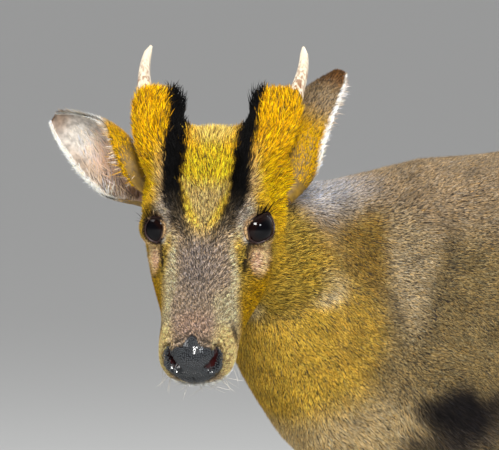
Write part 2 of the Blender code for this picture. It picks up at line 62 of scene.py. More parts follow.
# How far the lids stand over the eyeball. By side: where the eye looks, and the lids' opening as
# reaches from its middle, by degrees above the direction to the back of the head.
LID_THICK = 0.0009
EYE_LOOKS = {1: (0.66, -0.64, 0.39), -1: (0.4, -0.8, 0.42)}
LID_TURNS = (-180, -150, -120, -90, -60, -30, 0, 30, 60, 90, 120, 150, 180)
LID_REACHES = {
    1: (0.0113, 0.0104, 0.0083, 0.0082, 0.0104, 0.0117, 0.0126, 0.0117, 0.0104, 0.0106, 0.0115,
        0.011, 0.0113),
    -1: (0.0093, 0.01, 0.0078, 0.0059, 0.0048, 0.0044, 0.0049, 0.0066, 0.0098, 0.0107, 0.0097,
         0.0088, 0.0093),
}

LEGS = [leg + side for leg in ("foreleg_", "hindleg_") for side in SIDES]
FLESH = ["head", "nose", "neck", "trunk", "tail", "pedicle_left", "pedicle_right"]
FLESH += [leg + part for leg in LEGS for part in ("_upper", "_lower")]

# How the skin is made from the solids, with rounds of smoothing for the places that are halved
# no, one, two and three times.
SWELL = 0.0009
VOXEL = 0.0043
ROUNDS = (12, 24, 36, 36)
SMOOTH_STEPS = (0.5, -0.52)

# The mesh is halved within a reach of the head's middle, and again near an eye or the nose: the
# second and third times closer to an eye than these reaches, or farther forward than these.
FINE_MIDDLE = (0, -0.01, -0.005)
FINE_HEAD = 0.118
FINE_EYE = (0.027, 0.016)
FINE_FRONT = (-0.066, -0.084)


def box_middle(node):
    low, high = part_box(node)
    return (Vector(low) + Vector(high)) / 2


def head_axes():
    """The head's place and its axes as the columns of a matrix."""
    turn = Matrix.Rotation(HEAD_TURN, 3, "Z") @ Matrix.Rotation(HEAD_PITCH, 3, "X")
    middle = (box_middle("eye_left") + box_middle("eye_right")) / 2
    return middle - turn @ Vector((0, 0, EYE_RISE)), turn


HEAD_PLACE, HEAD_TURNED = head_axes()
HEAD_ORIGIN = np.array(HEAD_PLACE)
HEAD_MATRIX = np.array(HEAD_TURNED)


def to_head(points):
    return (points - HEAD_ORIGIN) @ HEAD_MATRIX


def from_head(points):
    return np.asarray(points) @ HEAD_MATRIX.T + HEAD_ORIGIN


def from_eye(local, sign):
    """Where points of the head are from the middle of one eye."""
    return local - EYE_AT * (sign, 1, 1)


def eye_away(local, sign):
    return np.linalg.norm(from_eye(local, sign), axis=-1)


# Small helpers

def unit(vectors):
    length = np.linalg.norm(vectors, axis=-1, keepdims=True)
    return vectors / np.maximum(length, 1e-12)


def ease(low, high, value):
    """0 below low, 1 above high and smooth between; low may be the larger."""
    share = np.clip((value - low) / (high - low), 0, 1)
    return share * share * (3 - 2 * share)


def mix(a, b, share):
    """a where the share is 0 and b where it is 1; there may be a share for each row."""
    share = np.asarray(share)
    if np.ndim(a) > 1 or np.ndim(b) > 1 or np.ndim(a) == 1 and share.ndim == 1:
        share = share[:, None]
    return np.asarray(a) * (1 - share) + np.asarray(b) * share


def blob(points, middle, radii, soft):
    """1 inside an ellipsoid and 0 outside it, with a soft edge."""
    away = np.linalg.norm((points - np.array(middle)) / np.array(radii), axis=1)
    return ease(1 + soft, 1 - soft, away)


def bell(away, half):
    """1 at a line and near 0 beyond twice this half width."""
    return np.exp(-(away / half) ** 2)


def along_line(points, line):
    """How far each point is from a line of several points, and its place along it, 0 to 1."""
    line = np.array(line)
    best = np.full(len(points), np.inf)
    place = np.zeros(len(points))
    steps = np.linalg.norm(np.diff(line, axis=0), axis=1)
    ends = np.concatenate(([0], np.cumsum(steps))) / steps.sum()
    for a, b, start, end in zip(line[:-1], line[1:], ends[:-1], ends[1:]):
        ab = b - a
        share = np.clip((points - a) @ ab / (ab @ ab), 0, 1)
        away = np.linalg.norm(points - a - share[:, None] * ab, axis=1)
        nearer = away < best
        best[nearer] = away[nearer]
        place[nearer] = (start + (end - start) * share)[nearer]
    return best, place


def beside_line(points, line, out):
    """How far each point is from a line when seen along a direction, and its place along it."""
    out = unit(np.array(out, float))
    line = np.array(line)
    return along_line(points - (points @ out)[:, None] * out, line - (line @ out)[:, None] * out)


def mirrored(points, sign):
    return [(x * sign, y, z) for x, y, z in points]


def folded(points):
    """The points with the right half laid over the left one."""
    return np.stack((np.abs(points[:, 0]), points[:, 1], points[:, 2]), 1)


def waves(points, size, seed):
    """Smooth noise between about -1 and 1: a sum of plane waves in random directions."""
    rng = np.random.default_rng(seed)
    total = np.zeros(len(points))
    for _ in range(9):
        direction = unit(rng.normal(size=3))
        turns = 2 * math.pi / (size * rng.uniform(0.7, 1.6))
        total += np.sin(points @ direction * turns + rng.uniform(0, 2 * math.pi))
    return total / 3


def scene_object(name, data):
    made = bpy.data.objects.new(name, data)
    bpy.context.scene.collection.objects.link(made)
    return made


# The skin's mesh

def fused_flesh():
    """The solids of flesh, swollen a little so that they meet, remeshed as one surface."""
    bm = bmesh.new()
    for name in FLESH:
        part = bmesh.new()
        part.from_mesh(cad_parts[name].data)
        bmesh.ops.remove_doubles(part, verts=part.verts, dist=1e-6)
        part.normal_update()
        for vert in part.verts:
            vert.co += vert.normal * SWELL
        piece = bpy.data.meshes.new("piece")
        part.to_mesh(piece)
        part.free()
        bm.from_mesh(piece)
        bpy.data.meshes.remove(piece)
    for side in SIDES:
        place = Matrix.Translation(box_middle("eye_" + side))
        bmesh.ops.create_icosphere(bm, subdivisions=4, radius=EYE_RADIUS + SWELL, matrix=place)
    mesh = bpy.data.meshes.new("flesh")
    bm.to_mesh(mesh)
    bm.free()
    made = scene_object("flesh", mesh)
    remesh = made.modifiers.new("remesh", "REMESH")
    remesh.mode = "VOXEL"
    remesh.voxel_size = VOXEL
    graph = bpy.context.evaluated_depsgraph_get()
    fused = bpy.data.meshes.new_from_object(made.evaluated_get(graph))
    bpy.data.objects.remove(made)
    bpy.data.meshes.remove(mesh)
    return fused


def fine_places(points):
    """How many times the mesh is halved at each point: most at the eyes and the nose."""
    local = to_head(points)
    wanted = (np.linalg.norm(local - FINE_MIDDLE, axis=1) < FINE_HEAD).astype(int)
    eye = np.minimum(*(eye_away(local, sign) for sign in SIDES.values()))
    for level, reach, front in zip((2, 3), FINE_EYE, FINE_FRONT):
        wanted[(wanted > 0) & ((local[:, 1] < front) | (eye < reach))] = level
    return wanted


def halve_faces(mesh, level):
    bm = bmesh.new()
    bm.from_mesh(mesh)
    bm.verts.ensure_lookup_table()
    points = np.array([v.co for v in bm.verts])
    chosen = fine_places(points) >= level
    edges = [e for e in bm.edges if chosen[e.verts[0].index] and chosen[e.verts[1].index]]
    bmesh.ops.subdivide_edges(bm, edges=edges, cuts=1, use_grid_fill=True)
    bm.to_mesh(mesh)
    bm.free()


def mesh_arrays(mesh):
    mesh.calc_loop_triangles()
    points = np.zeros(len(mesh.vertices) * 3)
    mesh.vertices.foreach_get("co", points)
    faces = np.zeros(len(mesh.loop_triangles) * 3, np.int32)
    mesh.loop_triangles.foreach_get("vertices", faces)
    return points.reshape(-1, 3), faces.reshape(-1, 3)


def edge_pairs(faces):
    pairs = np.concatenate((faces[:, (0, 1)], faces[:, (1, 2)], faces[:, (2, 0)]))
    return np.unique(np.sort(pairs, axis=1), axis=0)


def neighbour_mean(values, pairs, count):
    """The mean of each vertex's neighbours."""
    a, b = pairs.T
    total = np.zeros_like(values)
    for k in range(values.shape[1]):
        total[:, k] = np.bincount(a, values[b, k], len(values))
        total[:, k] += np.bincount(b, values[a, k], len(values))
    return total / count[:, None]


def smoothed(points, pairs, rounds, share=None):
    """Points moved to and fro toward their neighbours, which evens facets and keeps size."""
    count = np.bincount(pairs.ravel(), minlength=len(points)).astype(float)
    share = np.ones(len(points)) if share is None else share
    for _ in range(rounds):
        for step in SMOOTH_STEPS:
            off = neighbour_mean(points, pairs, count) - points
            points = points + off * (step * share)[:, None]
    return points


def face_normals(points, faces):
    a, b, c = (points[faces[:, k]] for k in range(3))
    return np.cross(b - a, c - a)


def point_normals(points, faces):
    normals = face_normals(points, faces)
    total = np.zeros_like(points)
    for k in range(3):
        for axis in range(3):
            total[:, axis] += np.bincount(faces[:, k], normals[:, axis], len(points))
    return unit(total)


def plain_mesh(name, points, faces, smooth=True):
    """A mesh of triangles or quads from arrays."""
    size = faces.shape[1]
    mesh = bpy.data.meshes.new(name)
    mesh.vertices.add(len(points))
    mesh.vertices.foreach_set("co", np.asarray(points, np.float32).ravel())
    mesh.loops.add(faces.size)
    mesh.loops.foreach_set("vertex_index", np.asarray(faces, np.int32).ravel())
    mesh.polygons.add(len(faces))
    mesh.polygons.foreach_set("loop_start", np.arange(0, faces.size, size, dtype=np.int32))
    mesh.polygons.foreach_set("use_smooth", np.full(len(faces), smooth))
    mesh.update(calc_edges=True)
    return mesh


def set_point_values(mesh, name, values):
    mesh.attributes.new(name, "FLOAT", "POINT").data.foreach_set("value", values.astype(np.float32))


def set_point_colours(mesh, name, colours):
    full = np.ones((len(colours), 4), np.float32)
    full[:, :3] = colours
    mesh.attributes.new(name, "FLOAT_COLOR", "POINT").data.foreach_set("color", full.ravel())


# Regions of the body

# Where the neck starts, as a point and a direction; the left pedicle's middle line; and where the
# legs stand.
NECK_PLANE = (np.array((0, 0.066, -0.016)), np.array((0, 0.819, -0.574)))
PEDICLE_LINE = [(0.008, -0.032, 0.008), (0.015, -0.012, 0.015), (0.023, 0.008, 0.022),
                (0.031, 0.032, 0.03), (0.0375, 0.058, 0.036), (0.041, 0.077, 0.0405),
                (0.039, 0.094, 0.046)]
FRONT_LEGS_Y = -0.122
BACK_LEGS_Y = 0.285


def regions(points):
    """Shares of the head, neck, trunk, pedicles, legs and tail at each point; they add to 1."""
    local = to_head(points)
    behind = (local - NECK_PLANE[0]) @ NECK_PLANE[1]
    past_head = np.maximum(ease(-0.01, 0.022, behind), ease(-0.067, -0.08, local[:, 2]))
    past_neck = ease(-0.215, -0.15, points[:, 1])
    pedicle = np.zeros(len(points))
    for sign in SIDES.values():
        away, place = along_line(local, mirrored(PEDICLE_LINE, sign))
        near = ease(0.03, 0.016, away) * ease(0.42, 0.62, place)
        pedicle = np.maximum(pedicle, near * (local[:, 2] > 0.0))
    forward = ease(0.05, -0.02, points[:, 1])
    leg_top = np.where(forward > 0.5, 0.262, 0.3)
    leg = ease(leg_top, leg_top - 0.055, points[:, 2]) * ease(-0.24, -0.2, points[:, 1])
    tail = ease(0.347, 0.353, points[:, 1]) * ease(0.15, 0.16, points[:, 2])
    shares = {"pedicle": pedicle}
    left = 1 - pedicle
    for name, share in (("tail", tail), ("leg", leg), ("trunk", past_neck * past_head),
                        ("neck", past_head)):
        shares[name] = left * share
        left = left - shares[name]
    shares["head"] = left
    return shares


def blended(shares, **values):
    return sum(shares[name] * value for name, value in values.items())


def leg_low(points):
    """1 at the foot and 0 at the top of the leg."""
    return ease(0.16, 0.05, points[:, 2])


# How far the skin lies under the tips of the coat; it is less toward the nose and the feet.
COAT_DEPTHS = {"pedicle": 0.0038, "neck": 0.0036, "trunk": 0.004, "tail": 0.007}
HEAD_DEPTH = 0.0027
LEG_DEPTH = 0.0026
NOSE_DEPTH = 0.0006
EYE_DEPTH = 0.001


def coat_depth(points):
    """How far the skin lies under the tips of the coat."""
    shares = regions(points)
    local = to_head(points)
    nose_ward = ease(0.02, -0.085, local[:, 1])
    depth = blended(shares, head=HEAD_DEPTH - 0.0013 * nose_ward,
                    leg=LEG_DEPTH - 0.0012 * leg_low(points), **COAT_DEPTHS)
    leather = nose_leather(local)
    depth = depth * (1 - leather) + NOSE_DEPTH * leather
    for sign in SIDES.values():
        depth = depth + (EYE_DEPTH - depth) * ease(0.024, 0.016, eye_away(local, sign))
    return depth


# The face

# The nose pad's outline as reaches from its middle, by degrees above the level.
NOSE_HEIGHT = -0.034
NOSE_TURNS = (-90, -58, -31, -5, 12, 27, 35, 47, 68, 79, 90)
NOSE_REACHES = (0.0168, 0.0166, 0.0175, 0.0194, 0.0205, 0.02, 0.0166, 0.0156, 0.015, 0.0172,
                0.0182)
# The left nostril's line from the top of its slit, the side it is seen from, and its half width,
# its depth and the half width of its painted shade by the place along the line.
NOSTRIL_SIDE = (0.25, -1, 0.1)
NOSTRIL_PLACES = (0, 0.35, 0.7, 1)
NOSTRIL_HALVES = (0.0011, 0.0019, 0.003, 0.0024)
NOSTRIL_DEPTHS = (0.0016, 0.0035, 0.0065, 0.006)
NOSTRIL_DARK = (0.0008, 0.0016, 0.0026, 0.002)
NOSTRIL = [(0.015, -0.095, -0.0258), (0.015, -0.0965, -0.03), (0.0134, -0.0985, -0.0338),
           (0.0112, -0.1005, -0.0358), (0.009, -0.1015, -0.0356)]
# The left half of the mouth, the slit of the gland before the left eye, and the black stripe from
# the left antler to the brow, with its half width and strength by the place along it.
MOUTH = [(0.0, -0.104, -0.0555), (0.01, -0.1015, -0.056), (0.019, -0.094, -0.0555),
         (0.0245, -0.084, -0.054), (0.0265, -0.072, -0.052), (0.027, -0.06, -0.05),
         (0.0275, -0.05, -0.048)]
GLAND = [(0.03, -0.0125, 0.0012), (0.0306, -0.019, -0.0018), (0.0305, -0.026, -0.0048),
         (0.029, -0.0335, -0.0074)]
GLAND_SIDE = np.array((0.75, -0.4, 0.52))
FOREHEAD_SIDE = (0.0, -0.62, 0.78)
STRIPE = [(0.03, 0.094, 0.06), (0.0265, 0.072, 0.0535), (0.024, 0.05, 0.0473),
          (0.0228, 0.029, 0.039), (0.0222, 0.004, 0.0306), (0.0199, -0.0045, 0.0258),
          (0.015, -0.0168, 0.0191), (0.0089, -0.0288, 0.0131), (0.006, -0.04, 0.0085)]
STRIPE_PLACES = (0, 0.15, 0.3, 0.46, 0.64, 0.71, 0.81, 0.91, 1)
STRIPE_HALVES = (0.0072, 0.0072, 0.0068, 0.0064, 0.0058, 0.0052, 0.0042, 0.003, 0.0015)
STRIPE_DEPTHS = (1.0, 1.0, 1.0, 1.0, 1.0, 0.92, 0.7, 0.4, 0.0)


def nose_leather(local):
    """1 on the bare leather of the nose."""
    x, up = np.abs(local[:, 0]), local[:, 2] - NOSE_HEIGHT
    reach = np.interp(np.degrees(np.arctan2(up, x)), NOSE_TURNS, NOSE_REACHES)
    front = ease(-0.08, -0.086, local[:, 1])
    return ease(0.0005, -0.0005, np.hypot(x, up) - reach) * front


def eye_frame(sign):
    """Three axes at an eye: along its slit to the back, across it upward, and out of it."""
    out = unit(np.array(EYE_LOOKS[sign]) * (sign, 1, 1))
    back = np.array((sign * 0.45, 0.75, 0.18))
    back = unit(back - out * (back @ out))
    rise = np.cross(out, back) * sign
    return back, rise * np.sign(rise[2]), out


def lid_reach(turn, sign):
    """How far the lids' opening reaches from its middle, this many degrees above the back."""
    return np.interp(turn, LID_TURNS, LID_REACHES[sign], period=360)


def lid_edge(u, v, sign):
    """How far outside the lids' opening a point is, in the eye's plane: negative inside."""
    return np.hypot(u, v) - lid_reach(np.degrees(np.arctan2(v, u)), sign)


def shape_lids(local):
    """Draws the skin over each eyeball, with an opening that shows it and a fold above."""
    for sign in SIDES.values():
        off = from_eye(local, sign)
        u, v, w = (off @ axis for axis in eye_frame(sign))
        away = eye_away(local, sign)
        edge = lid_edge(u, v, sign)
        near = (away < 0.03) & (w > -0.004)
        direction = off / np.maximum(away, 1e-9)[:, None]
        upper = ease(-0.001, 0.004, v)
        lid = EYE_RADIUS + LID_THICK + 0.0004 * ease(0.0025, 0.0, edge)
        lid = lid + upper * 0.0008 * bell(edge - 0.0016, 0.0012)
        lid = lid - upper * 0.0016 * bell(edge - 0.0042, 0.0011)
        hidden = EYE_RADIUS - 0.002
        radius = lid + (hidden - lid) * ease(0.0, -0.0011, edge)
        pull = ease(0.0085, 0.003, edge) * ease(0.03, 0.022, away) * near
        moved = EYE_AT * (sign, 1, 1) + direction * (away * (1 - pull) + radius * pull)[:, None]
        local = np.where(near[:, None], moved, local)
    return local


def groove(local, normals, line, side, depth, half, lip):
    """Presses a line into the surface, with a raised lip on each side."""
    away, place = beside_line(local, line, side)
    near = np.linalg.norm(local - np.mean(line, axis=0), axis=1) < 0.035
    fade = ease(0, 0.12, place) * ease(1, 0.85, place) * near
    press = bell(away, half) * depth - bell(away - 2.0 * half, 0.8 * half) * lip
    return local - normals * (press * fade)[:, None]


def nostril(local):
    """How far each point is from the nostrils' middle line, and its place along the line."""
    return beside_line(folded(local), NOSTRIL, NOSTRIL_SIDE)


def nostril_share(local):
    """1 in the dark of a nostril: its red lining in painted shade."""
    away, place = nostril(local)
    half = np.interp(place, NOSTRIL_PLACES, NOSTRIL_DARK)
    return ease(half + 0.0006, half - 0.0002, away) * ease(-0.082, -0.088, local[:, 1])


def shape_nose(local, normals):
    """The pad with its groove, the comma nostrils and the shining rim outside each."""
    leather = nose_leather(local)
    pad = blob(folded(local) * (1, 0, 1), (0, 0, -0.0315), (0.009, 1, 0.0085), 0.9)
    moved = local + normals * ((0.0007 + 0.0068 * pad) * leather)[:, None]
    away, place = nostril(local)
    front = ease(-0.084, -0.09, local[:, 1])
    half = np.interp(place, NOSTRIL_PLACES, NOSTRIL_HALVES)
    depth = np.interp(place, NOSTRIL_PLACES, NOSTRIL_DEPTHS)
    inward = unit(np.stack((-0.3 * np.sign(local[:, 0]), np.full(len(local), 0.9),
                            np.full(len(local), 0.25)), 1))
    moved = moved + inward * (np.exp(-(away / half) ** 4) * depth * front)[:, None]
    outline = np.hypot(np.abs(local[:, 0]), local[:, 2] - NOSE_HEIGHT - 0.003)
    outer = ease(0.0125, 0.014, outline) * ease(-0.044, -0.04, local[:, 2])
    rim = bell(away - half - 0.002, 0.0014) * outer * front
    moved = moved + normals * (0.0024 * rim)[:, None]
    centre = bell(local[:, 0], 0.0008) * ease(-0.041, -0.046, local[:, 2])
    return moved - normals * (0.001 * centre * leather)[:, None]


def shape_face(points, faces):
    """The folds of the face: lids, gland slits, brow ridges, nose and mouth."""
    local = to_head(points)
    normals = point_normals(points, faces) @ HEAD_MATRIX
    here = np.linalg.norm(local - (0, -0.03, -0.01), axis=1) < 0.12
    shaped = local[here]
    turned = normals[here]
    for sign in SIDES.values():
        ridge, place = beside_line(shaped, mirrored(STRIPE[3:], sign), FOREHEAD_SIDE)
        lift = 0.0013 * bell(ridge, 0.006) * ease(1, 0.7, place)
        shaped = shaped + turned * lift[:, None]
        brow = blob(shaped, (sign * 0.0315, -0.001, 0.0195), (0.01, 0.014, 0.007), 0.6)
        shaped = shaped + turned * (0.0012 * brow)[:, None]
        for line, side, *sizes in ((GLAND, GLAND_SIDE * (sign, 1, 1), 0.003, 0.0013, 0.0009),
                                   (MOUTH, (sign, 0, 0), 0.0017, 0.0011, 0.0004)):
            shaped = groove(shaped, turned, mirrored(line, sign), side, *sizes)
    shaped = shape_nose(shaped, turned)
    shaped = shape_lids(shaped)
    local[here] = shaped
    return from_head(local)


def shape_shoulder(points, faces):
    """The fold of loose skin down the front of each shoulder."""
    away, place = along_line(folded(points), CREASE)
    fade = ease(0, 0.25, place) * ease(1, 0.75, place)
    press = 0.0034 * bell(away, 0.009) - 0.0014 * bell(away - 0.018, 0.009)
    return points - point_normals(points, faces) * (press * fade)[:, None]


# The domes of the nose leather: their gaps by height, and the rings of each as reach, drop toward
# the chin, height and points, in gaps.
DOME_DENSITY = 1.6e7
DOME_HEIGHTS = (-0.048, -0.034)
DOME_GAPS = (0.0016, 0.0011)
DOME_SIDES = 6
DOME_RINGS = ((0.64, 0.0, -0.16, DOME_SIDES), (0.42, 0.12, 0.28, DOME_SIDES), (0.0, 0.26, 0.46, 1))


def kept_apart(places, gaps):
    """Which places stay when each one keeps its gap from those before it."""
    kept = []
    for k in range(len(places)):
        if not kept or np.linalg.norm(places[kept] - places[k], axis=1).min() > gaps[k]:
            kept.append(k)
    return kept


def pebbles(points, faces):
    """Small domes all over the nose leather, larger toward the chin, with painted highlights on
    top.
    """
    rng = np.random.default_rng(SEED)
    local = to_head(points)
    wet = (nose_leather(local) > 0.95) & (nostril_share(local) < 0.1)
    found = faces, *scattered(points, faces, wet * DOME_DENSITY, rng)
    place, normal = value_at(points, *found), value_at(point_normals(points, faces), *found)
    gap = np.interp(to_head(place)[:, 2], DOME_HEIGHTS, DOME_GAPS)
    kept = kept_apart(place, gap)
    place, normal, gap = place[kept], unit(normal[kept]), gap[kept]
    across = unit(np.cross(normal, (0.0, 0.0, 1.0)))
    along = np.cross(normal, across)
    rings = []
    for reach, drop, height, count in DOME_RINGS:
        for k in range(count):
            turn = 2 * math.pi * k / DOME_SIDES + rng.uniform(-0.25, 0.25, len(place))
            out = across * np.cos(turn)[:, None] + along * np.sin(turn)[:, None]
            rings.append(place + (out * reach + along * drop + normal * height) * gap[:, None])
    domes = np.stack(rings, 1)
    low = np.arange(DOME_SIDES)
    low_next = np.roll(low, -1)
    high, high_next = low + DOME_SIDES, low_next + DOME_SIDES
    top = np.full(DOME_SIDES, 2 * DOME_SIDES)
    one = np.stack((high_next, low_next, low, high, high_next, low, top, high_next, high), 1)
    one = one.reshape(-1, 3)
    starts = np.arange(len(domes)) * domes.shape[1]
    mesh = plain_mesh("nose_pebbles", domes.reshape(-1, 3),
                      (starts[:, None, None] + one).reshape(-1, 3))
    # Painted highlight: each dome lighter toward its top, most in the middle of the pad.
    middle = blob(to_head(place) * (1, 0, 1), (0, 0, -0.027), (0.01, 1, 0.006), 0.6)
    rise = np.repeat((0.0, 0.5, 1.0), (DOME_SIDES, DOME_SIDES, 1))
    set_point_values(mesh, "dome_glint", (rise * (0.55 + 0.45 * middle)[:, None]).ravel())
    made = scene_object("nose_pebbles", mesh)
    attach(made, "root")
    made.data.materials.append(bpy.data.materials["nose_leather"])
    print("nose_pebbles", len(domes), "domes")


RIM_STEPS = 72
RIM_SIDES = 8
RIM_RADIUS = 0.0005


def over_lid(turn, sign, inset, lift):
    """A point over the eyeball, this far inside the lids' edge at a turn round the opening."""
    back, rise, out = eye_frame(sign)
    reach = lid_reach(math.degrees(turn), sign) - inset
    u, v = math.cos(turn) * reach, math.sin(turn) * reach
    high = math.sqrt((EYE_RADIUS + lift) ** 2 - u * u - v * v)
    return EYE_AT * (sign, 1, 1) + back * u + rise * v + out * high


def lid_rims():
    """A smooth wet rim round each eye's opening, as rings swept along the lids' edge."""
    points, faces = [], []
    for sign in SIDES.values():
        turns = np.linspace(0, 2 * math.pi, RIM_STEPS, endpoint=False)
        path = np.array([over_lid(turn, sign, RIM_RADIUS, 0.0003) for turn in turns])
        radial = unit(from_eye(path, sign))
        across = np.cross(unit(np.roll(path, -1, axis=0) - np.roll(path, 1, axis=0)), radial)
        a = len(points) * RIM_STEPS + np.arange(RIM_SIDES * RIM_STEPS).reshape(RIM_SIDES, RIM_STEPS)
        for k in range(RIM_SIDES):
            angle = 2 * math.pi * k / RIM_SIDES
            points.append(path + radial * (RIM_RADIUS * math.cos(angle))
                          + across * (RIM_RADIUS * math.sin(angle)))
        b, c = np.roll(a, -1, axis=1), np.roll(a, -1, axis=0)
        d = np.roll(b, -1, axis=0)
        pairs = np.stack((a, b, d, a, d, c), -1).reshape(-1, 3)
        faces.append(pairs if sign > 0 else pairs[:, ::-1])
    return from_head(np.concatenate(points)), np.concatenate(faces)


def make_skin_arrays():
    """The skin's points and triangles, rounded, sunk by the coat's depth and shaped."""
    mesh = fused_flesh()
    for level in (1, 2, 3):
        halve_faces(mesh, level)
    points, faces = mesh_arrays(mesh)
    bpy.data.meshes.remove(mesh)
    pairs = edge_pairs(faces)
    fine = fine_places(points)
    for level in (3, 2, 1, 0):
        share = ease(level - 1.0, level, fine.astype(float)) if level else np.ones(len(points))
        points = smoothed(points, pairs, ROUNDS[level], share)
    normals = point_normals(points, faces)
    points = points - normals * (SWELL + coat_depth(points))[:, None]
    points = smoothed(points, pairs, 4)
    points = shape_shoulder(points, faces)
    points = shape_face(points, faces)
    return points, faces


# The ears

EAR_LENGTH = 0.0895
EAR_BEND = 0.0056
EAR_SKIN = 0.0006
EAR_DEPTH = 0.72
EAR_STEPS = 48
EAR_ACROSS = 32
# Place from base to tip, radius, half curl in degrees, and how far the inner edge curls over.
EAR_SECTIONS = [(-0.12, 0.01, 168, 20), (0.0, 0.0125, 162, 24), (0.15, 0.018, 136, 30),
                (0.35, 0.023, 104, 31), (0.5, 0.023, 88, 22), (0.65, 0.0198, 76, 12),
                (0.8, 0.015, 66, 6), (0.92, 0.0098, 60, 2), (1.0, 0.0042, 56, 0)]
# Base, direction to the tip, direction the cup opens to, bow of the middle.
EARS = {
    "left": ((0.045, 0.052, 0.003), (0.39, 0.82, 0.418), (0.42, 0.64, -0.52),
             (-0.0075, 0.0001, 0.0018)),
    "right": ((-0.045, 0.052, -0.007), (-0.809, 0.508, 0.297), (-0.1, -0.8, 0.44),
              (0.0, 0.0, 0.0)),
}


def curve_through(rows, places):
    """Rows at these places of a smooth curve; the first column is the place."""
    rows = np.array(rows)
    x, values = rows[:, 0], rows[:, 1:]
    slopes = np.gradient(values, x, axis=0)
    k = np.clip(np.searchsorted(x, places, side="right") - 1, 0, len(x) - 2)
    step = (x[k + 1] - x[k])[:, None]
    t = ((places - x[k]) / step[:, 0])[:, None]
    a, b = values[k], values[k + 1]
    return ((2 * t**3 - 3 * t**2 + 1) * a + (t**3 - 2 * t**2 + t) * step * slopes[k]
            + (3 * t**2 - 2 * t**3) * b + (t**3 - t**2) * step * slopes[k + 1])


def ear_surface(side, places, turns):
    """Points of an ear's middle sheet, and the direction toward its hollow side."""
    base, along, opening, bow = (np.array(v) for v in EARS[side])
    along = unit(along)
    opening = unit(opening - (opening @ along) * along)
    across = np.cross(along, opening)
    radius, curl, over = curve_through(EAR_SECTIONS, places).T
    angle = np.radians(curl * turns + over)
    swell = np.sin(math.pi * np.clip(places, 0, 1))
    middle = base + along * (EAR_LENGTH * places)[:, None]
    middle = middle + (bow - opening * EAR_BEND) * swell[:, None]
    sine, cosine = np.sin(angle)[:, None], np.cos(angle)[:, None]
    offset = across * sine + opening * (EAR_DEPTH * (1 - cosine))
    points = middle + offset * radius[:, None]
    inward = unit(opening * cosine - across * (sine * EAR_DEPTH))
    return from_head(points), inward @ HEAD_MATRIX.T


def grid_faces(grid):
    """Two triangles for each cell of a grid of vertex numbers."""
    a, b, c, d = grid[:-1, :-1], grid[:-1, 1:], grid[1:, 1:], grid[1:, :-1]
    return np.stack((a, b, c, a, c, d), -1).reshape(-1, 3)


def ear_shell(side):
    """Both faces of the ear's skin, joined round the rim, with their places, turns and faces."""
    grid = np.meshgrid(np.linspace(EAR_SECTIONS[0][0], 1, EAR_STEPS),
                       np.linspace(-1, 1, EAR_ACROSS), indexing="ij")
    places, turns = (values.ravel() for values in grid)
    points, inward = ear_surface(side, places, turns)
    rim = np.sqrt(np.clip(1 - turns**2, 0, 1)) ** 0.5
    thick = (EAR_SKIN * (0.35 + 0.65 * rim))[:, None]
    both = np.concatenate((points + inward * thick, points - inward * thick))
    count = len(points)
    grid = np.arange(count).reshape(EAR_STEPS, EAR_ACROSS)
    front = grid_faces(grid)
    back = front[:, ::-1] + count
    edge = np.concatenate((grid[:, 0], grid[-1, 1:], grid[-2::-1, -1], grid[0, -2:0:-1]))
    ahead = np.roll(edge, -1)
    rim_faces = np.concatenate((np.stack((edge, ahead + count, ahead), 1),
                                np.stack((edge, edge + count, ahead + count), 1)))
    faces = np.concatenate((front, back, rim_faces))
    return both, faces, np.tile(places, 2), np.tile(turns, 2)


# The markings, with painted shade and sheen among them

def paint(red, green, blue):
    """A colour as the shaders take it, from the numbers of a colour picker."""
    value = np.array((red, green, blue)) / 255
    return np.where(value <= 0.04045, value / 12.92, ((value + 0.055) / 1.055) ** 2.4)


# The coat's colours as they look in soft daylight, and a gain for the shade between the tufts.
HAIR_GAIN = 1.6
GOLD = paint(188, 138, 4)
STRAW = paint(202, 161, 26)
CROWN = paint(180, 150, 74)
WEDGE = paint(180, 151, 92)
TEMPLE = paint(188, 143, 4)
OLIVE = paint(146, 120, 44)
CHEEK = paint(150, 113, 4)
BRIDGE = paint(152, 133, 113)
BRIDGE_DARK = paint(120, 110, 106)
BRIDGE_PALE = paint(192, 172, 134)
MUZZLE = paint(194, 164, 110)
BROW = paint(190, 178, 164)
BUFF = paint(196, 160, 116)
PINK = paint(186, 140, 122)
WHITE = paint(212, 206, 198)
# The nape's pale grey: partly grey fur, partly a painted sheen on the top of the neck.
NAPE_GREY_AND_SHEEN = paint(156, 154, 155)
BACK = paint(138, 118, 90)
FLANK = paint(119, 101, 64)
NECK_DARK = paint(126, 99, 38)
BAND = paint(154, 135, 101)
FOLD = paint(192, 174, 140)
ORANGE = paint(159, 127, 44)
NECK_GOLD = paint(169, 136, 44)
CHEST = paint(150, 130, 92)
SLATE = paint(84, 76, 76)
# A near-black for dark fur, and for painted shade in the gland slits and beside the foreleg.
DARK_FUR_AND_SHADE = paint(24, 21, 22)
BLACK = paint(5, 4, 4)
LEG_BROWN = paint(108, 74, 40)
LEG_DARK = paint(38, 30, 26)
CHESTNUT = paint(132, 82, 34)
BELLY = paint(200, 186, 160)
EAR_PALE = paint(192, 184, 174)
EAR_PINK = paint(226, 164, 122)
EAR_TAN = paint(150, 118, 84)
EAR_BROWN = paint(110, 82, 56)
LEATHER = paint(26, 27, 33)
LID = paint(60, 40, 34)
# The fold down the front of the left shoulder, pressed in and darkened with painted shade.
CREASE = [(0.04, -0.112, 0.42), (0.051, -0.125, 0.385), (0.051, -0.143, 0.348)]


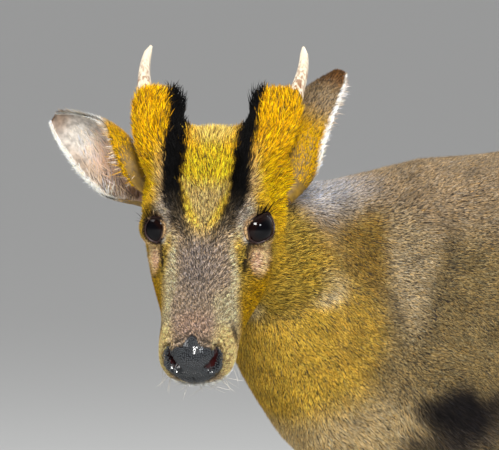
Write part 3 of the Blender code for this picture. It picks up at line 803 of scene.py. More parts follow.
def stripe_share(local):
    """The black V that runs from the antlers down the pedicles to the brow, and its soft edge."""
    share, halo = np.zeros(len(local)), np.zeros(len(local))
    ragged = 0.0011 * waves(local, 0.006, 5)
    for sign in SIDES.values():
        away, place = beside_line(local, mirrored(STRIPE, sign), FOREHEAD_SIDE)
        half = np.interp(place, STRIPE_PLACES, STRIPE_HALVES) + ragged
        level = np.interp(local[:, 1], (-0.03, 0.0, 0.03, 0.09), (-0.02, 0.0, 0.022, 0.036))
        depth = np.interp(place, STRIPE_PLACES, STRIPE_DEPTHS)
        depth = depth * ease(-0.004, 0.004, local[:, 2] - level)
        share = np.maximum(share, ease(half + 0.0012, half - 0.0008, away) * depth)
        outside = local[:, 0] * sign > np.interp(local[:, 1], (-0.03, 0.03), (0.0095, 0.0228))
        near = ease(half + 0.0095, half, away) * outside * ease(0.36, 0.62, place)
        halo = np.maximum(halo, near * ease(1.0, 0.93, place))
    return share, halo


class Layers:
    """The coat's colour at each point with its shares of dark and of ringed hairs."""

    def __init__(self, count):
        self.colour = np.tile(OLIVE, (count, 1))
        self.dark = np.full(count, 0.26)
        self.ringed = np.full(count, 0.45)

    def lay(self, colour, share, dark=None, ringed=None):
        self.colour = self.colour * (1 - share[:, None]) + colour * share[:, None]
        if dark is not None:
            self.dark = self.dark * (1 - share) + dark * share
        if ringed is not None:
            self.ringed = self.ringed * (1 - share) + ringed * share


def spots(layers, where, rows):
    """Lays soft ellipsoids. A row is colour, middle, radii, softness, strength and hair kinds."""
    for colour, middle, radii, soft, strength, *kinds in rows:
        layers.lay(colour, blob(where, middle, radii, soft) * strength, *kinds)


def mark_head(layers, points, shares):
    """The head's markings and painted shade, each laid over those before it."""
    local = to_head(points)
    side = folded(local)
    x, y, z = side.T
    ripple = 0.0025 * waves(points, 0.03, 3)
    lay = layers.lay
    spots(layers, side, ((CHEEK, (0.04, -0.044, -0.038), (0.022, 0.044, 0.024), 0.5, 1, 0.34),))
    lay(TEMPLE, ease(-0.012, 0.022, y + 0.35 * z + ripple) * ease(-0.075, -0.045, z), 0.16, 0.3)
    spots(layers, side,
          ((OLIVE, (0.05, 0.04, -0.04), (0.022, 0.026, 0.03), 0.5, 1, 0.28, 0.5),))
    off = x + ripple + 0.1 * np.maximum(0, y + 0.02)
    front = ease(0.006, -0.014, y) * ease(-0.058, -0.044, z)
    lay(BRIDGE_PALE, ease(0.0275, 0.0205, off) * front, 0.36, 0.35)
    lay(BRIDGE, ease(0.02, 0.014, off) * front, 0.34, 0.3)
    spots(layers, side, (
        (BRIDGE_DARK, (0.0, -0.044, 0.006), (0.0105, 0.024, 0.02), 0.7, 0.6, 0.42),
        (BROW, (0.0235, -0.01, 0.016), (0.0095, 0.015, 0.014), 0.5, 0.9, 0.36, 0.3),
        (TEMPLE * 1.15, (0.0215, -0.019, 0.006), (0.003, 0.009, 0.008), 0.6, 0.6, 0.2),
    ))
    wedge = ease(0.0215, 0.0185, x) * ease(-0.036, -0.014, y)
    lay(WEDGE, wedge, 0.34, 0.45)
    beside = np.stack((x - 0.015 - 0.55 * np.minimum(y, 0.02), y, 0 * y), 1)
    lay(STRAW, blob(beside, (0, 0.002, 0), (0.0045, 0.024, 1), 0.5) * wedge * 0.8, 0.16)
    lay(STRAW, ease(0.03, 0.02, x) * ease(0.004, 0.02, y) * ease(0, 0.01, z), 0.3, 0.4)
    lay(CROWN, ease(0.034, 0.026, x) * ease(0.036, 0.05, y) * ease(0.0, 0.01, z), 0.06, 0.2)
    spots(layers, side, (
        (CHEEK * 0.8, (0.038, -0.015, -0.016), (0.014, 0.018, 0.0145), 0.3, 0.6, 0.5, 0.3),
        (BUFF, (0.038, -0.014, -0.0125), (0.0105, 0.0135, 0.0118), 0.4, 0.9, 0.16, 0.2),
        (PINK, (0.0345, -0.019, -0.012), (0.005, 0.008, 0.006), 0.6, 0.6, 0.05, 0.1),
        (WHITE * 0.8, (0.0282, -0.014, 0.0014), (0.0036, 0.0036, 0.004), 0.4, 0.9, 0, 0),
    ))
    # Painted shade: the gland slit before each eye is darkened, black toward its lower, front end.
    gland, _ = beside_line(side, GLAND, GLAND_SIDE)
    near = (np.abs(x - 0.03) < 0.01) & (y < -0.01) & (z > -0.03)
    lay(DARK_FUR_AND_SHADE * 2, ease(0.0042, 0.0012, gland) * near * 0.7, 0.6, 0)
    lay(BLACK, ease(0.0022, 0.001, gland) * near * ease(-0.018, -0.028, y), 0.9, 0)
    spots(layers, side, (
        (MUZZLE, (0.024, -0.092, -0.034), (0.0125, 0.0145, 0.023), 0.4, 1, 0.14, 0.2),
        (PINK, (0.0, -0.09, -0.01), (0.015, 0.01, 0.011), 0.5, 0.25, 0.3),
        (DARK_FUR_AND_SHADE, (0.0266, -0.0765, -0.03), (0.005, 0.005, 0.01), 0.7, 0.8, 0.6, 0),
    ))
    lay(WHITE, ease(-0.048, -0.052, z - 0.1 * (y + 0.09)) * ease(-0.055, -0.075, y), 0.02, 0)
    chin = ease(-0.056, -0.064, z) * ease(0.04, -0.04, y) * ease(0.036, 0.022, x)
    lay(BELLY, chin * 0.8, 0.06, 0.1)
    lay(GOLD, shares["pedicle"], 0.16, 0.3)
    stripe, halo = stripe_share(local)
    lay(BRIDGE * 1.25, halo * 0.6, 0.42, 0.3)
    lay(BLACK, stripe, 0.75, 0)


def mark_body(layers, points, shares):
    """The body's markings and its painted shade and sheen, each laid over those before it."""
    body = folded(points)
    across, back, up = body.T
    broad = waves(points, 0.1, 11)
    trunk = np.clip(shares["trunk"], 0, 1)
    whole = np.clip(shares["neck"], 0, 1) + trunk
    lay = layers.lay
    hide = mix(FLANK, BACK, ease(0.395, 0.44, up + 0.012 * broad))
    lay(hide, whole, 0.1, 0.85)
    golden = ease(-0.17, -0.205, back + 0.25 * (up - 0.35) + 0.008 * broad)
    lay(NECK_GOLD, golden * ease(0.415, 0.375, up) * whole, 0.08, 0.6)
    spots(layers, body, (
        (NECK_DARK, (0.036, -0.184, 0.412), (0.05, 0.026, 0.034), 0.5, whole, 0.18, 0.85),
        (ORANGE, (0.043, -0.198, 0.352), (0.04, 0.022, 0.03), 0.5, whole, 0.14),
        (BAND, (0.046, -0.152, 0.392), (0.04, 0.017, 0.04), 0.5, whole, 0.14),
        (FOLD, (0.043, -0.223, 0.384), (0.022, 0.016, 0.011), 0.6, whole * 0.8, 0.12, 0.3),
        # The nape's grey with its painted sheen.
        (NAPE_GREY_AND_SHEEN, (0.0, -0.212, 0.462), (0.04, 0.05, 0.034), 0.5, whole * 0.95, 0.06, 0.2),
    ))
    # Grey fur and painted sheen along the crest of the neck.
    lay(NAPE_GREY_AND_SHEEN, ease(0.462, 0.486, up) * whole * ease(0.1, -0.1, back) * 0.4, 0.2)
    spots(layers, body,
          ((CHEST, (0.02, -0.172, 0.278), (0.046, 0.05, 0.032), 0.5, whole, 0.1, 0.3),))
    lay(CHEST * 1.5, ease(0.3, 0.272, up) * ease(-0.06, -0.12, back) * whole * 0.6, 0.06, 0.2)
    # Dark patch at the upper foreleg: partly dark fur, partly painted shade by the chest.
    rough = body + 0.006 * np.stack([waves(points, 0.045, 31 + k) for k in range(3)], 1)
    spots(layers, rough, (
        (DARK_FUR_AND_SHADE * 2.2, (0.06, -0.096, 0.284), (0.04, 0.056, 0.026), 0.4, 0.8, 0.5, 0.1),
        (DARK_FUR_AND_SHADE, (0.06, -0.116, 0.291), (0.034, 0.028, 0.016), 0.5, 0.96, 0.7, 0),
    ))
    # Painted shade along the fold down the front of each shoulder.
    crease, place = along_line(body, CREASE)
    lay(FLANK * 0.5, ease(0.014, 0.0, crease) * ease(0, 0.2, place) * 0.5, 0.3)
    mottle = 0.12 * waves(points, 0.02, 21) + 0.08 * waves(points, 0.009, 22)
    layers.colour = layers.colour * (1 + np.clip(mottle, -0.25, 0.25) * whole)[:, None]
    belly = ease(0.3, 0.27, up) * ease(-0.06, 0.0, back) * trunk
    lay(BELLY, belly * ease(0.085, 0.05, across), 0.04, 0.1)
    rump = blob(body, (0.02, 0.362, 0.37), (0.03, 0.03, 0.05), 0.5)
    lay(WHITE, rump * trunk * 0.8, 0.05, 0.1)
    leg = shares["leg"]
    lay(mix(LEG_BROWN, LEG_DARK, ease(0.17, 0.07, up)), leg, 0.3, 0.2)
    fore = ease(-0.1, -0.118, back) * ease(0.29, 0.266, up) * ease(0.085, 0.06, across)
    lay(DARK_FUR_AND_SHADE * 2, fore * (leg + trunk) * ease(-0.16, -0.14, back) * 0.75, 0.4, 0.1)
    lay(BELLY, leg * ease(0.05, 0.036, across) * ease(0.1, 0.17, up) * 0.8, 0.1)
    lay(mix(CHESTNUT, WHITE, ease(0.362, 0.352, back)), shares["tail"], 0.1, 0.2)


def markings(points, shares):
    """The hairs' colour at each point, their colour at the root, and the kinds of hair."""
    layers = Layers(len(points))
    mark_head(layers, points, shares)
    mark_body(layers, points, shares)
    colour = np.clip(layers.colour * HAIR_GAIN, 0, 1)
    body = np.clip(shares["neck"] + shares["trunk"], 0, 1)
    slate = SLATE * np.clip(colour.mean(1, keepdims=True) / 0.2, 0, 1)
    root = mix(colour * 0.28, slate, body * 0.55)
    return colour, root, layers.dark, layers.ringed


def bare_share(points):
    """1 where no hair grows: nose leather, eye openings and gland slits."""
    local = to_head(points)
    bare = ease(0.2, 0.7, nose_leather(local))
    for sign in SIDES.values():
        u, v, w = (from_eye(local, sign) @ axis for axis in eye_frame(sign))
        near = (eye_away(local, sign) < 0.022) & (w > 0)
        wide = 0.0008 + 0.0014 * ease(0.0, 0.003, v) * ease(0.006, -0.001, u)
        bare = np.maximum(bare, ease(wide + 0.001, wide, lid_edge(u, v, sign)) * near)
        slit, place = beside_line(local, mirrored(GLAND, sign), GLAND_SIDE * (sign, 1, 1))
        here = (np.abs(local[:, 0] - sign * 0.03) < 0.009) & (local[:, 1] < -0.01)
        bare = np.maximum(bare, ease(0.0016, 0.0008, slit) * ease(1, 0.9, place) * here)
    return bare


# The lie of the coat

def lie_of_head(points, normals):
    """The way that the hair of the head points: back from the nose and up the pedicles."""
    local = to_head(points)
    turned = normals @ HEAD_MATRIX
    count = len(points)
    sideways = ease(0.35, 0.85, np.abs(turned[:, 0])) * ease(-0.075, -0.035, local[:, 1])
    top = np.stack((0.1 * np.clip(local[:, 0] / 0.02, -1, 1), np.ones(count), np.zeros(count)), 1)
    cheek = np.stack((0.15 * np.sign(local[:, 0]), np.full(count, 0.75), np.full(count, -0.62)), 1)
    head = mix(top, cheek, sideways)
    fan = ease(-0.035, -0.005, local[:, 1]) * ease(0.045, 0.03, local[:, 1]) * (turned[:, 2] > 0.2)
    head[:, 0] += 0.55 * fan * np.clip(local[:, 0] / 0.022, -1, 1)
    rising = np.zeros((count, 3))
    for sign in SIDES.values():
        line = np.array(mirrored(PEDICLE_LINE, sign))
        away, place = along_line(local, line)
        steps = len(line) - 1
        ahead = unit(np.diff(line, axis=0))[np.minimum((place * steps).astype(int), steps - 1)]
        rising += ahead * (ease(0.034, 0.014, away) * ease(0.3, 0.5, place))[:, None]
    weight = np.clip(np.linalg.norm(rising, axis=1), 0, 1)
    return mix(head, unit(rising), weight) @ HEAD_MATRIX.T


def lie_of_body(points, normals):
    """The ways that the hair points on the body: back along the top and down on the sides."""
    count = len(points)
    top = ease(0.35, 0.85, normals[:, 2])
    neck_side = np.stack((0.15 * np.sign(points[:, 0]), np.full(count, 0.62),
                          np.full(count, -0.78)), 1)
    neck_side = mix(neck_side, np.array((0.0, 0.05, -1.0)), ease(0.25, 0.75, -normals[:, 1]))
    lower = ease(0.42, 0.3, points[:, 2])
    trunk_side = np.stack((np.zeros(count), np.full(count, 0.95), -0.25 - 0.45 * lower), 1)
    return {"neck": mix(neck_side, np.array((0.0, 1.0, -0.1)), top),
            "trunk": mix(trunk_side, np.array((0.0, 1.0, 0.0)), top),
            "leg": np.tile((0.0, 0.14, -1.0), (count, 1)),
            "tail": np.tile((0.0, 0.1, -1.0), (count, 1))}


def lie_of_coat(points, normals, shares):
    """The direction that the hair points to, before it is laid on the skin."""
    total = lie_of_head(points, normals) * (shares["head"] + shares["pedicle"])[:, None]
    for name, way in lie_of_body(points, normals).items():
        total = total + way * shares[name][:, None]
    return total


def laid_flat(directions, normals):
    flat = directions - normals * (directions * normals).sum(1, keepdims=True)
    return unit(flat)


# Tufts

def turned_about(vectors, axes, angles):
    """Vectors turned about unit axes at right angles to them."""
    cosine, sine = np.cos(angles)[:, None], np.sin(angles)[:, None]
    return vectors * cosine + np.cross(axes, vectors) * sine


def raised(lie, normal, angle):
    """The lie turned up from the skin by an angle."""
    return lie * np.cos(angle)[:, None] + normal * np.sin(angle)[:, None]


BLADE_WAIST = 0.33
LEAF_WAIST = 0.4
LEAF_BEND = 0.35
STRAND_BEND = -0.35
STRAND_RINGS = (1.0, 0.85, 0.55)


def blades(root, normal, lie, size, width, lift, sink):
    """Flat blades of two triangles, widest at a third, each with its base under the skin."""
    up = raised(lie, normal, lift)
    across = np.cross(lie, normal) * (width[:, None] / 2)
    base = root - normal * sink[:, None]
    waist = base + up * (size * BLADE_WAIST)[:, None]
    points = np.stack((base, waist - across, waist + across, root + up * size[:, None]), 1)
    places, sides = (0.0, BLADE_WAIST, BLADE_WAIST, 1.0), (0.0, -1.0, 1.0, 0.0)
    return points, ((0, 1, 2), (1, 3, 2)), places, sides


def leaves(root, normal, lie, size, width, lift, sink):
    """Bent blades of six triangles, widest before the middle, that turn back to the skin."""
    up, on = raised(lie, normal, lift), raised(lie, normal, lift - LEAF_BEND)
    half = width[:, None] / 2
    across = np.cross(lie, normal) * half
    waist = root + up * (size * LEAF_WAIST)[:, None]
    tip = waist + on * (size * (1 - LEAF_WAIST))[:, None]
    points = np.stack((root - normal * sink[:, None], waist - across, waist + across,
                       waist + normal * half * 0.8, tip), 1)
    faces = ((0, 1, 2), (0, 2, 3), (0, 3, 1), (4, 2, 1), (4, 3, 2), (4, 1, 3))
    return points, faces, (0.0, LEAF_WAIST, LEAF_WAIST, LEAF_WAIST, 1.0), (0.0, -1.0, 1.0, 0.0, 0.0)


def strands(root, normal, lie, size, width, lift, sink):
    """Long single hairs: tubes of three sides that thin to a point and curve as they go."""
    half = width[:, None] / 2
    across = np.cross(lie, normal)
    place = root - normal * sink[:, None]
    rings = []
    for k, share in enumerate(STRAND_RINGS):
        ahead = raised(lie, normal, lift + STRAND_BEND * k / 3)
        over = np.cross(across, ahead)
        for turn in (0, 2 * math.pi / 3, 4 * math.pi / 3):
            rings.append(place + (across * math.cos(turn) + over * math.sin(turn)) * half * share)
        place = place + ahead * (size / 3)[:, None]
    points = np.stack(rings + [place], 1)
    faces = []
    for k in range(2):
        for j in range(3):
            a, b = 3 * k + j, 3 * k + (j + 1) % 3
            faces += [(a, b, b + 3), (a, b + 3, a + 3)]
    faces += [(6 + j, 6 + (j + 1) % 3, 9) for j in range(3)]
    places = np.repeat((0.0, 0.33, 0.66, 1.0), (3, 3, 3, 1))
    return points, faces, places, (-1.0, 0.0, 1.0) * 3 + (0.0,)


# Each tuft's patch on the map, as a share of the map's width.
PATCH = 0.003


def tuft_object(name, built, uv, hair, under, tick, material):
    """One coat piece from its tufts, with their colours and the map of their roots."""
    points, faces, places, sides = built
    count, corners = points.shape[:2]
    all_faces = ((np.arange(count) * corners)[:, None, None] + np.array(faces)).reshape(-1, 3)
    mesh = plain_mesh(name, points.reshape(-1, 3), all_faces, smooth=False)
    places = np.array(places)
    share = ease(0.0, 0.55, places)[None, :, None]
    colour = under[:, None, :] * (1 - share) + hair[:, None, :] * share
    set_point_colours(mesh, "hair", colour.reshape(-1, 3))
    set_point_values(mesh, "along", np.tile(places, count))
    set_point_values(mesh, "tick", np.repeat(tick, corners))
    spread = np.stack((np.array(sides), places * 2 - 1), 1) * (PATCH / 2)
    at_points = (np.clip(uv, PATCH, 1 - PATCH)[:, None, :] + spread[None]).reshape(-1, 2)
    corner_uv = at_points[all_faces.ravel()].astype(np.float32)
    mesh.uv_layers.new(name="OFBake").data.foreach_set("uv", corner_uv.ravel())
    mesh.materials.append(material)
    made = scene_object(name, mesh)
    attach(made, "root")


def scattered(points, faces, density, rng):
    """Roots spread evenly over the faces, as their face and their weights of its corners."""
    area = np.linalg.norm(face_normals(points, faces), axis=1) / 2
    total = np.cumsum(area * density[faces].mean(1))
    marks = np.arange(int(total[-1])) + rng.random(int(total[-1]))
    face = np.minimum(np.searchsorted(total, marks), len(faces) - 1)
    a, b = np.sqrt(rng.random(len(face))), rng.random(len(face))
    return face, np.stack((1 - a, a * (1 - b), a * b), 1)


def value_at(values, faces, face, weights):
    found = values[faces[face]]
    return (found * weights[..., None]).sum(1) if found.ndim == 3 else (found * weights).sum(1)


def round_axis(points, middle, axis, low, high):
    """An unwrap round an axis: the turn about it and the way along it, each 0 to 1."""
    axis = unit(np.array(axis, float))
    off = points - np.array(middle)
    far = off @ axis
    aslant = (0.31, 0.17, 0.94) if abs(axis[2]) < 0.9 else (0.94, 0.17, 0.31)
    first = unit(np.cross(axis, aslant))
    second = np.cross(axis, first)
    turn = np.arctan2(off @ second, off @ first) / (2 * math.pi) + 0.5
    return np.stack((turn, (far - low) / (high - low)), 1)


# Coat pieces

class Coat:
    """The skin as the coat reads it: its shape, regions, lie, colours and bare places."""

    def __init__(self, points, faces):
        self.points, self.faces = points, faces
        self.normals = point_normals(points, faces)
        self.shares = regions(points)
        self.local = to_head(points)
        self.hair, self.under, self.dark, self.ringed = markings(points, self.shares)
        self.bare = bare_share(points)
        pairs = edge_pairs(faces)
        count = np.maximum(np.bincount(pairs.ravel(), minlength=len(points)), 1).astype(float)
        lie = laid_flat(lie_of_coat(points, self.normals, self.shares), self.normals)
        for _ in range(16):
            lie = laid_flat(lie + neighbour_mean(lie, pairs, count), self.normals)
        swirl = 0.16 * waves(points, 0.045, 21) + 0.1 * waves(points, 0.016, 22)
        self.lie = turned_about(lie, self.normals, swirl)
        self.length = self.tuft_lengths()

    def tuft_lengths(self):
        """How long the hair is at each point: short on the face and the feet, long at the rear."""
        local, shares = self.local, self.shares
        nose_ward = ease(0.015, -0.085, local[:, 1])
        crown = ease(-0.01, 0.04, local[:, 1])
        head = 0.0046 - 0.002 * nose_ward + 0.0022 * crown
        for sign in SIDES.values():
            head = head * (1 - 0.4 * ease(0.026, 0.015, eye_away(local, sign)))
        rear = ease(-0.02, 0.15, self.points[:, 1])
        belly = ease(0.31, 0.26, self.points[:, 2])
        leg = 0.0075 - 0.003 * leg_low(self.points)
        stripe, _ = stripe_share(local)
        pedicle = 0.0088 + 0.006 * stripe * ease(0.062, 0.09, local[:, 1])
        return blended(shares, head=head, pedicle=pedicle, neck=0.0062,
                       trunk=0.0062 + 0.0044 * rear + 0.003 * belly, leg=leg, tail=0.02)


# The size of the small clumps of hair that are a little paler or darker.
CLUMP = 0.0021


def tuft_colours(root, hair, under, dark, ringed, rng, spread=0.17, deep=(0.05, 0.3)):
    """Each tuft's own colours: some are dark, the rest vary one by one and in small clumps."""
    count = len(hair)
    bright = 1 + spread * (rng.normal(size=count) + 1.3 * waves(root, CLUMP, 41))
    bright = np.clip(bright, 0.35, 1.7)[:, None]
    warm = 0.08 * rng.normal(size=count)
    warmth = np.stack((1 + warm, np.ones(count), 1 - 2 * warm), 1)
    is_dark = rng.random(count) < dark
    depth = rng.uniform(*deep, count)[:, None]
    grey = mix(hair, hair.mean(1, keepdims=True) * np.ones(3), np.full(count, 0.3))
    colour = np.where(is_dark[:, None], grey * depth, hair * bright * warmth)
    tick = np.where((rng.random(count) < ringed) & ~is_dark, 0.5, 0.0) + 0.5 * rng.random(count)
    return np.clip(colour, 0, 1), np.clip(under * bright, 0, 1), tick


# How deep the roots are in the skin, for the coat, the ears' hair and the long hairs.
COAT_SINK = 0.0007
EAR_SINK = 0.0004
STRAND_SINK = 0.0006
MOST_TRIANGLES = 190000
TRIANGLES = {blades: 2, leaves: 6, strands: 15}


def planted(name, make, roots, shape, colours, uv, material):
    """Makes the tufts at these roots, as one coat piece or as several that are small enough."""
    root = roots[0]
    triangles = len(root) * TRIANGLES[make]
    parts = max(1, math.ceil(triangles / MOST_TRIANGLES))
    order = np.array_split(np.argsort(uv[:, 1], kind="stable"), parts)
    for number, chosen in enumerate(order):
        built = make(*(v[chosen] for v in roots), *(v[chosen] for v in shape))
        label = name if parts == 1 else f"{name}_{number + 1}"
        tuft_object(label, built, uv[chosen], *(v[chosen] for v in colours), material)
    print(name, len(root), "tufts in", parts, "with", triangles, "triangles")


def grow(coat, name, where, cover, slim, lift, material, axis, rng, make=blades, sway=0.15,
         **tones):
    """Covers part of the skin in tufts, cover times over; slim is their length to their width."""
    share = where * (1 - coat.bare)
    area_each = coat.length * (coat.length / slim) / 2
    face, weights = scattered(coat.points, coat.faces, cover * share / area_each, rng)
    count = len(face)

    def read(values):
        return value_at(values, coat.faces, face, weights)

    root, normal = read(coat.points), unit(read(coat.normals))
    lie = laid_flat(read(coat.lie), normal)
    lie = turned_about(lie, normal, sway * rng.normal(size=count))
    normal = turned_about(normal, lie, 0.3 * rng.normal(size=count))
    size = read(coat.length) * rng.uniform(0.75, 1.25, count)
    width = size / slim * rng.uniform(0.8, 1.2, count)
    lifts = lift * rng.uniform(0.6, 1.4, count)
    kinds = (read(values) for values in (coat.hair, coat.under, coat.dark, coat.ringed))
    colours = tuft_colours(root, *kinds, rng, **tones)
    shape = (size, width, lifts, np.full(count, COAT_SINK))
    planted(name, make, (root, normal, lie), shape, colours, round_axis(root, *axis), material)


# Materials

def nodes_of(name):
    """A new material with its node tree and its shader."""
    material = bpy.data.materials.new(name)
    material.use_nodes = True
    tree = material.node_tree
    return material, tree, tree.nodes["Principled BSDF"]


def link(tree, source, target):
    tree.links.new(source, target)


def feed(tree, value, socket):
    """Links a socket to this one, or sets this one to a number or a colour."""
    if isinstance(value, bpy.types.NodeSocket):
        link(tree, value, socket)
    else:
        socket.default_value = (*value, 1) if np.ndim(value) else value


def set_shader(tree, shader, colour, **values):
    """Gives the shader its colour and other values, by the sockets' names with _ for a space."""
    feed(tree, colour, shader.inputs["Base Color"])
    for name, value in values.items():
        shader.inputs[name.replace("_", " ")].default_value = value


def add_node(tree, kind, **settings):
    node = tree.nodes.new(kind)
    for name, value in settings.items():
        setattr(node, name, value)
    return node


def own_place(tree):
    """The point of the object that is shaded, in its own axes."""
    return add_node(tree, "ShaderNodeTexCoord").outputs["Object"]


def attribute(tree, name, output="Fac"):
    return add_node(tree, "ShaderNodeAttribute", attribute_name=name).outputs[output]


def ramp(tree, source, stops):
    """A colour ramp over the stops, each a place and a grey or a colour."""
    node = add_node(tree, "ShaderNodeValToRGB")
    link(tree, source, node.inputs["Fac"])
    elements = node.color_ramp.elements
    while len(elements) < len(stops):
        elements.new(0.5)
    for element, (place, value) in zip(elements, stops):
        element.position = place
        element.color = (*np.broadcast_to(value, 3), 1)
    return node.outputs["Color"]


def mixed(tree, share, a, b, way="MIX"):
    """Two colours mixed by a share; each of the three is a socket or a value."""
    node = add_node(tree, "ShaderNodeMix", data_type="RGBA", blend_type=way)
    for name, value in (("Factor", share), ("A", a), ("B", b)):
        feed(tree, value, node.inputs[name])
    return node.outputs["Result"]


def multiply(tree, a, b):
    return mixed(tree, 1.0, a, b, "MULTIPLY")


def maths(tree, operation, *values):
    """The result of a sum of sockets and numbers."""
    node = add_node(tree, "ShaderNodeMath", operation=operation)
    for value, socket in zip(values, node.inputs):
        feed(tree, value, socket)
    return node.outputs[0]


def vector_maths(tree, operation, first, second, output="Vector"):
    """The result of a vector sum of a socket and a fixed vector."""
    node = add_node(tree, "ShaderNodeVectorMath", operation=operation)
    link(tree, first, node.inputs[0])
    node.inputs[1].default_value = second
    return node.outputs[output]


def noise(tree, scale, detail=3.0, stretch=None):
    node = add_node(tree, "ShaderNodeTexNoise")
    node.inputs["Scale"].default_value = scale
    node.inputs["Detail"].default_value = detail
    place = own_place(tree)
    if stretch:
        place = vector_maths(tree, "MULTIPLY", place, stretch)
    link(tree, place, node.inputs["Vector"])
    return node.outputs["Fac"]


def bump(tree, shader, height, strength, distance):
    node = add_node(tree, "ShaderNodeBump")
    node.inputs["Strength"].default_value = strength
    node.inputs["Distance"].default_value = distance
    link(tree, height, node.inputs["Height"])
    link(tree, node.outputs["Normal"], shader.inputs["Normal"])


def coat_material():
    """Hair from a dark root to a bright tip; ringed hairs have a pale ring under a dark tip."""
    material, tree, shader = nodes_of("coat")
    hair = attribute(tree, "hair", "Color")
    along, tick = attribute(tree, "along"), attribute(tree, "tick")
    plain = ramp(tree, along, [(0.0, 0.4), (0.4, 0.75), (0.9, 1.04)])
    shifted = maths(tree, "MULTIPLY", maths(tree, "MULTIPLY_ADD", tick, 0.36, along), 0.83)
    ringed = ramp(tree, shifted,
                  [(0.0, 0.3), (0.5, 0.36), (0.62, 1.12), (0.8, 1.12), (0.86, 0.34)])
    chosen = ramp(tree, tick, [(0.49, 0.0), (0.51, 1.0)])
    colour = mixed(tree, chosen, multiply(tree, hair, plain), multiply(tree, hair, ringed))
    set_shader(tree, shader, colour, Roughness=0.6, Specular_IOR_Level=0.06)
    return material


def hide_material():
    """The skin under the coat, in the coat's colours but dark, with the grain of short hair."""
    material, tree, shader = nodes_of("hide")
    grain = noise(tree, 850.0, 4.0)
    shade = ramp(tree, grain, [(0.38, 0.15), (0.62, 0.75)])
    colour = multiply(tree, attribute(tree, "hair", "Color"), shade)
    set_shader(tree, shader, colour, Roughness=0.75, Specular_IOR_Level=0.1)
    bump(tree, shader, grain, 0.6, 0.0006)
    return material


def leather_material():
    """Black leather, pebbles with painted glint and shade, wet enough to shine; red nostrils in
    painted shade.
    """
    material, tree, shader = nodes_of("nose_leather")
    # Painted shade at each pebble's foot and a painted highlight, four times brighter, at its top.
    dome_glint = ramp(tree, attribute(tree, "dome_glint"),
                [(0.0, LEATHER * 0.5), (0.5, LEATHER), (1.0, LEATHER * 4)])
    spread = ramp(tree, noise(tree, 260.0), [(0.35, 0.55), (0.65, 1.5)])
    # The nostrils' red lining, painted dark as the shade inside them.
    colour = mixed(tree, attribute(tree, "inside"), multiply(tree, dome_glint, spread), paint(46, 14, 14))
    set_shader(tree, shader, colour, Roughness=0.3, Specular_IOR_Level=0.15, Coat_Weight=0.9,
               Coat_Roughness=0.08)
    bump(tree, shader, noise(tree, 1500.0), 0.3, 0.0002)
    return material


def lid_material():
    """The dark, moist skin of the lids' rims."""
    material, tree, shader = nodes_of("lid_skin")
    colour = ramp(tree, noise(tree, 500.0), [(0.3, paint(20, 10, 9)), (0.7, paint(58, 28, 22))])
    set_shader(tree, shader, colour, Roughness=0.32, Coat_Weight=0.15)
    bump(tree, shader, noise(tree, 1400.0), 0.3, 0.0003)
    return material


def ear_material():
    """The ear's thin skin: pale inside with darker veins, in the coat's colours outside."""
    material, tree, shader = nodes_of("ear_skin")
    veins = ramp(tree, noise(tree, 240.0, 5.0), [(0.35, 0.55), (0.65, 1.1)])
    set_shader(tree, shader, multiply(tree, attribute(tree, "hair", "Color"), veins), Roughness=0.6)
    bump(tree, shader, noise(tree, 700.0), 0.4, 0.0004)
    return material


def eye_material(side):
    """A dark eye: a black oval pupil in a deep red-brown iris, under a clear wet front."""
    material, tree, shader = nodes_of("eye_" + side)
    back, rise, _ = (axis @ HEAD_MATRIX.T for axis in eye_frame(SIDES[side]))
    off = vector_maths(tree, "SUBTRACT", own_place(tree), np.array(box_middle("eye_" + side)))
    flat = add_node(tree, "ShaderNodeCombineXYZ")
    for name, axis, scale in (("X", back, 0.72), ("Y", rise, 1.0)):
        along = vector_maths(tree, "DOT_PRODUCT", off, axis, "Value")
        link(tree, maths(tree, "MULTIPLY", along, scale / EYE_RADIUS), flat.inputs[name])
    away = vector_maths(tree, "DISTANCE", flat.outputs[0], (0, 0, 0), "Value")
    iris = ramp(tree, away, [(0.0, paint(4, 4, 7)), (0.36, paint(5, 4, 6)), (0.48, paint(19, 7, 5)),
                             (0.74, paint(15, 6, 5)), (0.86, paint(5, 3, 3))])
    set_shader(tree, shader, iris, Roughness=0.04, IOR=1.25)
    return material


def antler_material():
    """Polished ivory with brown stain in its furrows toward the base."""
    material, tree, shader = nodes_of("antler")
    streaks = noise(tree, 560.0, 3.0, stretch=(1, 1, 0.07))
    place = add_node(tree, "ShaderNodeSeparateXYZ")
    link(tree, own_place(tree), place.inputs[0])
    high = add_node(tree, "ShaderNodeMapRange")
    for name, corner in zip(("From Min", "From Max"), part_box("antler_left")):
        high.inputs[name].default_value = float(corner[2])
    link(tree, place.outputs["Z"], high.inputs["Value"])
    furrow = ramp(tree, streaks, [(0.42, 0.0), (0.6, 0.95)])
    low = ramp(tree, high.outputs["Result"], [(0.3, 1.0), (0.65, 0.5), (0.9, 0.0)])
    stain = multiply(tree, furrow, low)
    set_shader(tree, shader, mixed(tree, stain, paint(216, 204, 180), paint(122, 70, 28)),
               Roughness=0.34)
    bump(tree, shader, streaks, 0.5, 0.001)
    return material


def hoof_material():
    """Black-brown horn with fine growth rings of darker and paler brown."""
    material, tree, shader = nodes_of("hoof")
    rings = noise(tree, 700.0, 3.0, stretch=(0.15, 0.15, 1))
    colour = ramp(tree, rings, [(0.3, paint(22, 17, 15)), (0.7, paint(58, 46, 38))])
    set_shader(tree, shader, colour, Roughness=0.42)
    bump(tree, shader, rings, 0.4, 0.0005)
    return material


# Camera, light and floor

